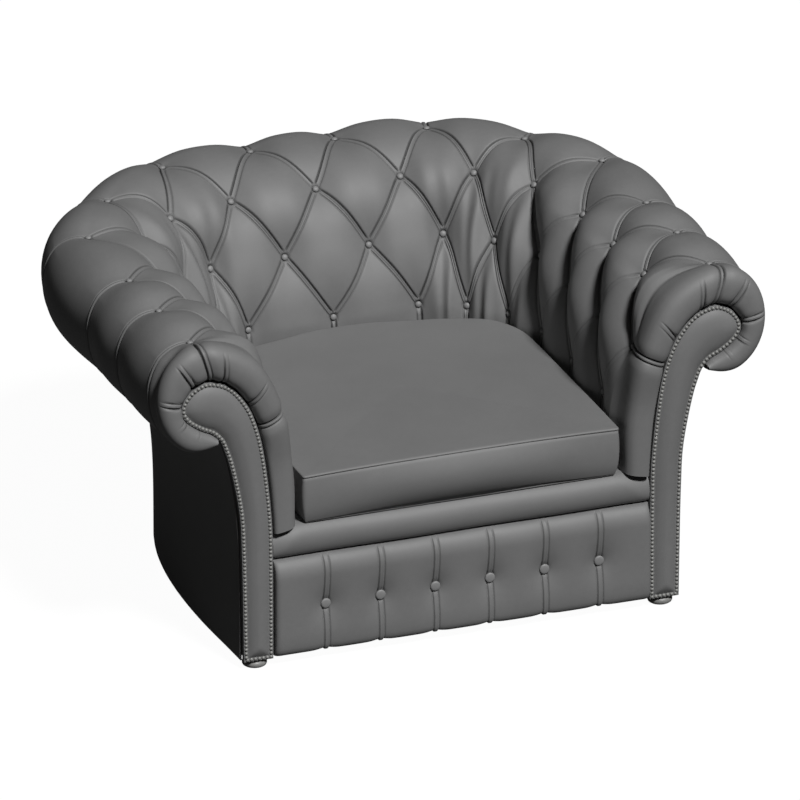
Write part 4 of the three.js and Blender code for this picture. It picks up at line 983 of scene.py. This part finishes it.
def add_lip(material):
    curved = np.array(LIP_SECTION[1:-1], float)
    section = smooth_through(curved, np.linspace(0, len(curved) - 1, LIP_SECTION_STEPS))
    section = np.vstack([LIP_SECTION[0], section, LIP_SECTION[-1]])
    half = LIP_HIGH.x
    ends = np.linspace(0, LIP_END_RUN, LIP_END_STATIONS)
    middle = np.linspace(-half + LIP_END_RUN, half - LIP_END_RUN, LIP_STATIONS)[1:-1]
    stations = np.concatenate([-half + ends, middle, half - ends[::-1]])
    rings = []
    for x in stations:
        near_end = ramp(half - LIP_END, half, abs(x))
        into_bevel = (LIP_END * section[:, 1] - (half - abs(x))) / LIP_BEVEL_SOFTNESS
        setback = LIP_BEVEL * LIP_BEVEL_SOFTNESS * np.logaddexp(0, into_bevel)
        sway = LIP_SWAY * math.sin(x * LIP_WAVES + 0.6) * (1 - near_end)
        back = LIP_FRONT_SETBACK + section[:, 0] * (LIP_HIGH.y - LIP_LOW.y - LIP_FRONT_SETBACK)
        y = LIP_LOW.y + back + (setback + sway) * (1 - section[:, 0])
        z = LIP_LOW.z + section[:, 1] * (LIP_HIGH.z - LIP_LOW.z) * (1 - LIP_END_DROP * near_end)
        rings.append(np.column_stack([np.full(len(section), x), y, z]))
    piece = add_piece("seat_lip", *swept(rings))
    dress(piece, "chair", "leather", material, "lip_roll")


def apron_rise(x, z, nearest):
    """How far the apron's face stands forward of its plane, by its distance to the nearest pleat as well."""
    edge = PLEAT_FOLD + 0.7 * PLEAT_GROOVE_WIDTH
    rise = APRON_PUFF * (1 - np.exp(-nearest / (18 * MM)))
    rise += PLEAT_FOLD_RISE * bell(nearest, PLEAT_FOLD, 6)
    rise -= PLEAT_GROOVE * bell(nearest - edge, PLEAT_GROOVE_WIDTH)
    for middle in pleat_middles:
        away = np.hypot(x - middle, (z - APRON_BUTTON_Z) * 0.85)
        rise -= DIMPLE_DEPTH * bell(away, DIMPLE_RADIUS, 1.4)
        rise -= APRON_HOLLOW * bell(away, 1.12 * BUTTON_RADIUS, 8)
    return rise


def near_edge(inwards, width):
    """1 at an edge, 0 at a width in from it and further."""
    return np.clip((width - inwards) / width, 0, 1)


def rolled_back(near, depth):
    """A quarter round of this depth towards an edge."""
    return depth * (1 - np.sqrt(1 - near**2 * 0.98))


def add_apron(material):
    half = APRON_HIGH.x - APRON_SIDE_GAP
    xs = {round(m + side * step * MM, 6) for m in pleat_middles for step in PLEAT_STEPS for side in (-1, 1)}
    xs |= {round(side * (half - step * MM), 6) for step in END_STEPS for side in (-1, 1)}
    xs = np.array(sorted(x for x in xs if abs(x) <= half + 1e-9))
    xs = xs[np.concatenate([[True], np.diff(xs) > 0.3 * MM])]
    x, share = crossed(xs, UP_STEPS)
    z = APRON_LOW.z + share * (APRON_HIGH.z - APRON_LOW.z)
    nearest = np.min([np.abs(x - m) for m in pleat_middles], axis=0)
    rise = apron_rise(x, z, nearest)
    bottom = near_edge(z - APRON_LOW.z, APRON_BOTTOM_TALL)
    setback = rolled_back(near_edge(APRON_HIGH.z - z, APRON_TOP_TALL), APRON_TOP_ROLL)
    setback += rolled_back(bottom, APRON_BOTTOM_ROLL)
    setback += rolled_back(near_edge(half - np.abs(x), APRON_END_WIDTH), APRON_END_ROLL)
    setback += APRON_TUCK * near_edge(z - APRON_LOW.z, APRON_TUCK_TALL) ** 2
    beside = bell(nearest, HEM_REACH) - bell(nearest, PLEAT_FOLD, 4)
    z = z + HEM_LIFT * beside * np.clip(1 - share * 6, 0, 1)
    front = np.column_stack([x, APRON_PLANE - rise * (1 - 0.6 * bottom) + setback, z])
    front[:, 1] = np.minimum(front[:, 1], APRON_HIGH.y - APRON_BACK_GAP - 0.4 * MM)
    back = np.column_stack([x, np.full(len(x), APRON_HIGH.y - APRON_BACK_GAP), z])
    piece = add_piece("pleated_apron", *closed_between(front, back, grid_faces(len(xs), len(UP_STEPS))))
    dress(piece, "chair", "leather", material, "front_apron")


RAIL_COVER_RUN = 11 * MM
RAIL_COVER_THICKNESS = 0.15 * MM


def add_rail_cover(material):
    """The leather drawn over the front rail, seen only in the gaps round the apron."""
    half = APRON_HIGH.x - 0.1 * MM
    front, back = APRON_HIGH.y - APRON_BACK_GAP + 0.2 * MM, APRON_HIGH.y - 0.1 * MM
    low, high = APRON_LOW.z + 1 * MM, APRON_HIGH.z + 0.25 * MM
    under = high - RAIL_COVER_THICKNESS
    section = [
        [front, low], [front, high - 1.5 * MM], [front + 0.4 * MM, high - 0.3 * MM], [front + 1.2 * MM, high],
        [back + RAIL_COVER_RUN, high], [back + RAIL_COVER_RUN, under], [back, under], [back, low],
    ]
    rings = [[[x, y, z] for y, z in section] for x in np.linspace(-half, half, 40)]
    dress(add_piece("covered_front_rail", *swept(rings)), "chair", "leather", material)


def add_apron_buttons(material):
    form, faces = lathe(APRON_BUTTON_SECTION, BUTTON_RADIUS, BUTTON_SIDES)
    for i in range(PLEAT_COUNT):
        low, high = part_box(f"apron_button_{i + 1}")
        place = ((low.x + high.x) / 2, APRON_PLANE + APRON_BUTTON_SINK, (low.z + high.z) / 2)
        piece = add_piece(f"apron_covered_button_{i + 1}", stood_at(form, place, (0, -1, 0)), faces)
        dress(piece, "chair", "button_leather", material, f"apron_button_{i + 1}")


# Outside panels
BASE_HALF = 427.5 * MM
BASE_RUN = 760 * MM
PANEL_BOTTOM_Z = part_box("outside_back")[0].z
PANEL_TOP_SETBACK = 38 * MM
PANEL_THICKNESS = 4 * MM
FLARE_POWER = 4
CORNER_COLUMN = 8
STATIONS_PER_COLUMN = 10
PANEL_HEIGHTS = 40
HEM_DEPTH = 1.4 * MM
HEM_SOFTNESS = 3 * MM

base_line = row_line(BASE_HALF, FRONT_Y + BASE_RUN, BASE_SHARES, 0)


def outside_point(column, z, inwards):
    """A point on the outside panels, which rise from the base line and flare out to the roll."""
    outward = outward_at(column)
    fourth = fourth_line(column)
    base = np.sum((base_line(column) - fourth) * outward, axis=1)
    crest = np.sum((crest_line(column) - fourth) * outward, axis=1)
    rise = np.clip((z - PANEL_BOTTOM_Z) / (PANEL_TOP_Z - PANEL_BOTTOM_Z), 0, 1)
    offset = base + rise**FLARE_POWER * (crest - PANEL_TOP_SETBACK - base) - inwards
    return placed(fourth, outward, offset, z)


def add_outside(name, first, last, side, material, node):
    columns = np.linspace(first, last, round((last - first) * STATIONS_PER_COLUMN))
    heights = np.linspace(PANEL_BOTTOM_Z, PANEL_TOP_Z, PANEL_HEIGHTS)
    column, z = crossed(columns, heights)
    near, turn = right_half(column)
    hem = HEM_DEPTH * np.exp(-(z - PANEL_BOTTOM_Z) / HEM_SOFTNESS)
    front = outside_point(near, z, hem)
    back = outside_point(near, z, PANEL_THICKNESS)
    front[:, 0] *= turn * side
    back[:, 0] *= turn * side
    points, faces = closed_between(front, back, grid_faces(len(columns), len(heights)))
    dress(add_piece(name, points, faces), "chair", "leather", material, node)


def add_outsides(material):
    first = column_at(FACING_HIGH.y + 0.3 * MM)
    joint = 0.2 * MM / COLUMN_PITCH
    last = CORNER_COLUMN - joint
    for side, name in SIDES:
        add_outside(f"outside_cover_{name}", first, last, side, material, f"outside_arm_{name}")
    first, last = CORNER_COLUMN + joint, LAST_COLUMN - CORNER_COLUMN - joint
    add_outside("outside_cover_back", first, last, 1, material, "outside_back")


# Seat cushion
CUSHION_LOW, CUSHION_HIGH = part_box("cushion_cover")
CUSHION_SHARES = [
    [1, 0.745], [0.982, 0.79], [0.93, 0.85], [0.85, 0.894], [0.605, 0.945], [0.475, 0.96], [0.36, 0.973],
    [0.18, 0.994], [0, 1],
]
CUSHION_CORNER = 7 * MM
CUSHION_CROWN = 7 * MM
CUSHION_EDGE_DROP = 2.5 * MM
CUSHION_TOP_BOW = 5 * MM
CUSHION_FRONT_LIFT = 7 * MM
CUSHION_BULGE = 4 * MM
CUSHION_FRONT_BELLY = 10 * MM
CUSHION_FRONT_REACH = 120 * MM
CUSHION_POINTS = 320
SAG_DEPTH = 1.2 * MM
SAG_RADIUS = 200 * MM
SAG_Y = -120 * MM
UNEVENNESS = 0.5 * MM
CUSHION_RINGS = 26

# The cushion's side, from its lower edge to its upper one: how far up, and how far in as bulges
CUSHION_SIDE = [
    (0, 2.9), (0.004, 2.5), (0.014, 2.15), (0.03, 1.95), (0.05, 1.75), (0.09, 1.38), (0.15, 0.95),
    (0.24, 0.5), (0.36, 0.18), (0.5, 0.02), (0.6, 0), (0.7, 0.06), (0.8, 0.2), (0.88, 0.38), (0.93, 0.52),
    (0.947, 0.85), (0.957, 0.85), (0.962, 0.36), (0.972, 0.28), (0.985, 0.36), (0.994, 0.6), (1, 1.1),
    (1.003, 1.8),
]


def cushion_outline():
    """The cushion's outline in plan, from the middle of its front round by the right."""
    half, front = CUSHION_HIGH.x, CUSHION_LOW.y
    run = CUSHION_HIGH.y - front
    angles = np.radians(np.linspace(-90, 0, 9))
    centre = [half - CUSHION_CORNER, front + CUSHION_CORNER]
    corner = centre + CUSHION_CORNER * np.column_stack([np.cos(angles), np.sin(angles)])
    knots = [corner[-1], [half, front + run * 0.4]] + [[a * half, front + b * run] for a, b in CUSHION_SHARES]
    right = spaced_along(np.vstack([[0, front], corner[:-1], centripetal(knots, 12)]), CUSHION_POINTS)
    left = (right[1:-1] * [-1, 1])[::-1]
    return np.vstack([right, left])


def bow_at(flat):
    """1 midway along the cushion's front and sides, 0 at its front corners."""
    run = CUSHION_HIGH.y - CUSHION_LOW.y
    across = 1 - np.abs(flat[:, 0] / CUSHION_HIGH.x) ** 2.4
    along = np.clip((flat[:, 1] - CUSHION_LOW.y) / (0.55 * run), 0, 1)
    return np.clip(across + along * (2 - along), 0, 1)


def add_cushion(material):
    outline = cushion_outline()
    low, high = CUSHION_LOW.z, CUSHION_HIGH.z - CUSHION_EDGE_DROP
    tall = high - low
    bow = bow_at(outline)
    front_bow = bow**2 * near_edge(outline[:, 1] - CUSHION_LOW.y, CUSHION_FRONT_REACH)
    rings = []
    for up, inwards in CUSHION_SIDE:
        z = low + up * tall + CUSHION_TOP_BOW * bow * up + CUSHION_FRONT_LIFT * front_bow * (1 - up)
        belly = CUSHION_FRONT_BELLY * front_bow * math.sin(math.pi * min(up, 1))
        rings.append(np.column_stack([inset_ccw(outline, inwards * CUSHION_BULGE - belly), z]))
    last_up, last_inwards = CUSHION_SIDE[-1]
    inner = inset_ccw(outline, last_inwards * CUSHION_BULGE)
    centre = np.array([0, (CUSHION_LOW.y + CUSHION_HIGH.y) / 2])
    for share in np.linspace(0, 1, CUSHION_RINGS)[1:-1]:
        flat = inner + (centre - inner) * share
        rim = low + last_up * tall + CUSHION_TOP_BOW * (bow * (1 - share) + share)
        crown = CUSHION_CROWN * (1 - (1 - share) ** 2.2)
        rings.append(np.column_stack([flat, rim + crown_of(flat, crown)]))
    piece = add_piece("seat_cushion", *swept(rings))
    dress(piece, "cushion", "leather", material, "cushion_cover", "cushion_core")


def inset_ccw(outline, distance):
    return inset(outline[::-1], np.broadcast_to(distance, len(outline))[::-1])[::-1]


def crown_of(flat, crown):
    """The crown with a little sag and unevenness where people sit."""
    x, y = flat[:, 0], flat[:, 1]
    sag = SAG_DEPTH * bell(np.hypot(x, y - SAG_Y), SAG_RADIUS)
    uneven = UNEVENNESS * np.sin(x * 17 + 1) * np.sin(y * 13 + 2)
    return crown - sag + uneven * np.minimum(1, crown / (2 * MM))


# Feet
FOOT_SECTION = [
    [0, 0], [15, 0], [19, 0.6], [21.6, 2.4], [22.8, 5.2], [22.9, 8], [21.6, 11], [18.6, 13.2], [14, 14.6],
    [12, 15.4], [12, 19.7], [4, 19.7], [4, 50], [0, 50],
]
FOOT_SIDES = 48


def add_feet(material):
    for name in ("front_bun_foot_right", "front_bun_foot_left", "back_bun_foot_right", "back_bun_foot_left"):
        low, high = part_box(name)
        points, faces = lathe(FOOT_SECTION, MM, FOOT_SIDES)
        place = ((low.x + high.x) / 2, (low.y + high.y) / 2, 0)
        piece = add_piece(f"turned_{name}", points + place, faces)
        dress(piece, "chair", "foot_wood", material, name)


# Finishes


def linear(hex_colour):
    """An sRGB hex colour as linear RGBA."""
    value = int(hex_colour.lstrip("#"), 16)
    channels = [(value >> shift & 255) / 255 for shift in (16, 8, 0)]
    return [c / 12.92 if c <= 0.04045 else ((c + 0.055) / 1.055) ** 2.4 for c in channels] + [1]


def feed(tree, node, **inputs):
    """Gives a node its inputs, by name or as i and a number. They are values, or sockets to link from."""
    for key, value in inputs.items():
        numbered = key[0] == "i" and key[1:].isdigit()
        socket = node.inputs[int(key[1:]) if numbered else key.replace("_", " ")]
        if isinstance(value, bpy.types.NodeSocket):
            tree.links.new(value, socket)
        else:
            socket.default_value = value


def add_node(tree, kind, settings=None, **inputs):
    """One shader node."""
    node = tree.nodes.new(kind)
    for key, value in (settings or {}).items():
        setattr(node, key, value)
    feed(tree, node, **inputs)
    return node


def texture(tree, kind, output="Fac", settings=None, **inputs):
    return add_node(tree, f"ShaderNodeTex{kind}", settings, **inputs).outputs[output]


def calculated(tree, operation, *values):
    inputs = {f"i{k}": value for k, value in enumerate(values)}
    return add_node(tree, "ShaderNodeMath", {"operation": operation}, **inputs).outputs[0]


def mixed(tree, factor, first, second):
    """A colour between two. Each is a hex colour or a socket."""
    colours = [linear(c) if isinstance(c, str) else c for c in (first, second)]
    mix = add_node(tree, "ShaderNodeMix", {"data_type": "RGBA"}, Factor=factor, i6=colours[0], i7=colours[1])
    return mix.outputs[2]


def mapped(tree, value, low, high):
    return add_node(tree, "ShaderNodeMapRange", Value=value, To_Min=low, To_Max=high).outputs[0]


def bumped(tree, height, strength, distance):
    return add_node(tree, "ShaderNodeBump", Height=height, Strength=strength, Distance=distance).outputs[0]


def new_material(name):
    """An empty node material with its shader and its place coordinates."""
    material = bpy.data.materials.new(name)
    material.use_nodes = True
    tree = material.node_tree
    tree.nodes.clear()
    shader = add_node(tree, "ShaderNodeBsdfPrincipled")
    add_node(tree, "ShaderNodeOutputMaterial", i0=shader.outputs[0])
    place = add_node(tree, "ShaderNodeTexCoord").outputs["Object"]
    return material, tree, shader, place


def per_metre(size_mm):
    """A texture scale that gives features of this many millimetres."""
    return 1 / (size_mm * MM)


def grey_leather(name, light, dark, roughness):
    """Corrected-grain upholstery leather, pigmented grey: satin, with a fine grain, and shade painted dark
    into its creases.
    """
    material, tree, shader, place = new_material(name)
    cloud = texture(tree, "Noise", Vector=place, Scale=per_metre(140), Detail=3.0, Roughness=0.55)
    mottle = texture(tree, "Noise", Vector=place, Scale=per_metre(9), Detail=4.0, Roughness=0.6)
    blend = calculated(tree, "MULTIPLY_ADD", mottle, 0.35, calculated(tree, "MULTIPLY", cloud, 0.65))
    # Painted shade: the colour is darkened towards a dark grey where the mesh marks a point as lying in a
    # crease.
    crease = add_node(tree, "ShaderNodeAttribute", {"attribute_name": "painted_crease_shade_depth"}).outputs["Fac"]
    tone = mixed(tree, blend, dark, light)
    tone_with_painted_shade = mixed(tree, calculated(tree, "MULTIPLY", crease, PAINTED_CREASE_SHADE_STRENGTH), tone, PAINTED_CREASE_SHADE_GREY)
    # Pebble grain is about 1 mm on real hide and is drawn at 2 mm, so that it shows at this distance.
    smooth = {"feature": "SMOOTH_F1"}
    grain = texture(tree, "Voronoi", "Distance", smooth, Vector=place, Scale=per_metre(2.0))
    pores = texture(tree, "Noise", Vector=place, Scale=per_metre(1.2), Detail=2.0)
    bump = bumped(tree, calculated(tree, "ADD", grain, pores), 0.25, 0.12 * MM)
    rough = mapped(tree, mottle, roughness - 0.06, roughness + 0.08)
    feed(tree, shader, Base_Color=tone_with_painted_shade, Normal=bump, Roughness=rough, IOR=1.5, Specular_IOR_Level=0.8)
    return material


def dull_nail_metal():
    """Antiqued steel nail heads, pressed and lacquered: dull metal with darker pits."""
    material, tree, shader, place = new_material("antiqued_nail_heads")
    pits = texture(tree, "Noise", Vector=place, Scale=per_metre(4), Detail=2.0)
    feed(tree, shader, Base_Color=mixed(tree, pits, "#7e7e7c", "#a0a09d"), Metallic=0.25, Roughness=0.55)
    return material


def grained(name, light, dark, roughness, band_mm, stretch):
    """Wood with grain along X: planed or stained, by its colours."""
    material, tree, shader, place = new_material(name)
    mapping = add_node(tree, "ShaderNodeMapping", Vector=place, Scale=stretch)
    rings = texture(tree, "Noise", Vector=mapping.outputs[0], Scale=per_metre(band_mm), Detail=5.0)
    bump = bumped(tree, rings, 0.2, 0.2 * MM)
    feed(tree, shader, Base_Color=mixed(tree, rings, dark, light), Normal=bump, Roughness=roughness)
    return material


def woven(name, light, dark, thread_mm, roughness):
    """Cloth of crossing threads: two wave patterns, one for each way of the weave."""
    material, tree, shader, place = new_material(name)
    warp, weft = (
        texture(tree, "Wave", settings={"bands_direction": way}, Vector=place, Scale=per_metre(thread_mm) / 3)
        for way in ("X", "Y")
    )
    cross = calculated(tree, "MULTIPLY", warp, weft)
    bump = bumped(tree, cross, 0.5, thread_mm * 0.3 * MM)
    feed(tree, shader, Base_Color=mixed(tree, cross, dark, light), Normal=bump, Roughness=roughness)
    return material


def drawn_steel():
    """Oiled spring wire: bright steel with faint drawing streaks."""
    material, tree, shader, place = new_material("drawn_spring_wire")
    streak = texture(tree, "Noise", Vector=place, Scale=per_metre(6), Detail=3.0)
    feed(tree, shader, Base_Color=mixed(tree, streak, "#6a6d72", "#8f9296"), Metallic=1, Roughness=0.35)
    return material


def dress_frame_nodes(slots):
    """Gives each CAD node that still shows the finish of its material slot."""
    for part in frame["record"]["subparts"]:
        node = frame["nodes"][part["node"]]
        if not node.hide_render:
            node.data.materials.clear()
            node.data.materials.append(slots[part["material_slot"]])


# Studio
KEY_DIRECTION = Vector((0.132, -0.62, 0.773))
KEY_STRENGTH = 3.2
KEY_ANGLE = 9
FILL_STRENGTH = 0.005
FLOOR_SIZE = 60
FLOOR_GREY = "#363636"
FLOOR_SEEN = 0.97
FLOOR_REFLECTED = 0.05
WHITE = (1, 1, 1, 1)


def add_floor():
    """A pale floor that reads white to the camera but keeps the chair's shadow."""
    bpy.ops.mesh.primitive_plane_add(size=FLOOR_SIZE, location=(0, 0, 0))
    floor = bpy.context.object
    floor.name = "studio_floor"
    material, tree, shader, _ = new_material("white_paper_floor")
    path = add_node(tree, "ShaderNodeLightPath")
    glossy = calculated(tree, "MULTIPLY", path.outputs["Is Glossy Ray"], FLOOR_REFLECTED)
    lift = calculated(tree, "MULTIPLY_ADD", path.outputs["Is Camera Ray"], FLOOR_SEEN, glossy)
    feed(tree, shader, Base_Color=linear(FLOOR_GREY), Roughness=0.9)
    feed(tree, shader, Emission_Color=WHITE, Emission_Strength=lift)
    floor.data.materials.append(material)


def add_world():
    """White to the camera, a low even fill on the chair."""
    world = bpy.data.worlds.new("studio")
    bpy.context.scene.world = world
    world.use_nodes = True
    tree = world.node_tree
    tree.nodes.clear()
    path = add_node(tree, "ShaderNodeLightPath")
    strength = mapped(tree, path.outputs["Is Camera Ray"], FILL_STRENGTH, 1)
    ground = add_node(tree, "ShaderNodeBackground", Color=WHITE, Strength=strength)
    add_node(tree, "ShaderNodeOutputWorld", i0=ground.outputs[0])


def add_key():
    """A broad key light from above the chair's front, a little to its right."""
    data = bpy.data.lights.new("key", "SUN")
    data.energy = KEY_STRENGTH
    data.angle = math.radians(KEY_ANGLE)
    aim_from(in_scene("key", data), KEY_DIRECTION)


def main():
    add_camera()
    hide = grey_leather("grey_upholstery_leather", "#808080", "#6f6f6f", 0.64)
    button_hide = grey_leather("grey_button_leather", "#929292", "#7c7c7c", 0.58)
    metal = dull_nail_metal()
    foot_wood = grained("grey_stained_beech", "#9a9a98", "#7c7c7a", 0.42, 14, (0.25, 1, 1))
    slots = {
        "leather": hide,
        "button_leather": button_hide,
        "nail_metal": metal,
        "foot_wood": foot_wood,
        "frame_timber": grained("planed_frame_hardwood", "#cdb089", "#a9835a", 0.7, 22, (0.12, 1, 1)),
        "spring_steel": drawn_steel(),
        "webbing": woven("elastic_webbing", "#3a3a3c", "#1d1d1f", 2.5, 0.8),
        "hessian": woven("jute_hessian", "#b39b70", "#7d6944", 2.0, 0.9),
        "lining": woven("black_lining_cloth", "#2a2a2c", "#141416", 1.2, 0.9),
        "foam": woven("cut_foam", "#dcd6c8", "#cfc8b8", 1.5, 0.95),
        "zip_tape": woven("zip_tape", "#5b5b5b", "#3b3b3b", 1.6, 0.6),
    }
    add_tufted_leather(hide)
    add_arm_fronts(hide)
    add_tuft_buttons(button_hide)
    add_facings(hide, metal)
    add_lip(hide)
    add_apron(hide)
    add_rail_cover(hide)
    add_apron_buttons(button_hide)
    add_outsides(hide)
    add_cushion(hide)
    add_feet(foot_wood)
    dress_frame_nodes(slots)
    add_floor()
    add_world()
    add_key()
    bpy.context.scene.view_settings.view_transform = "Standard"


main()
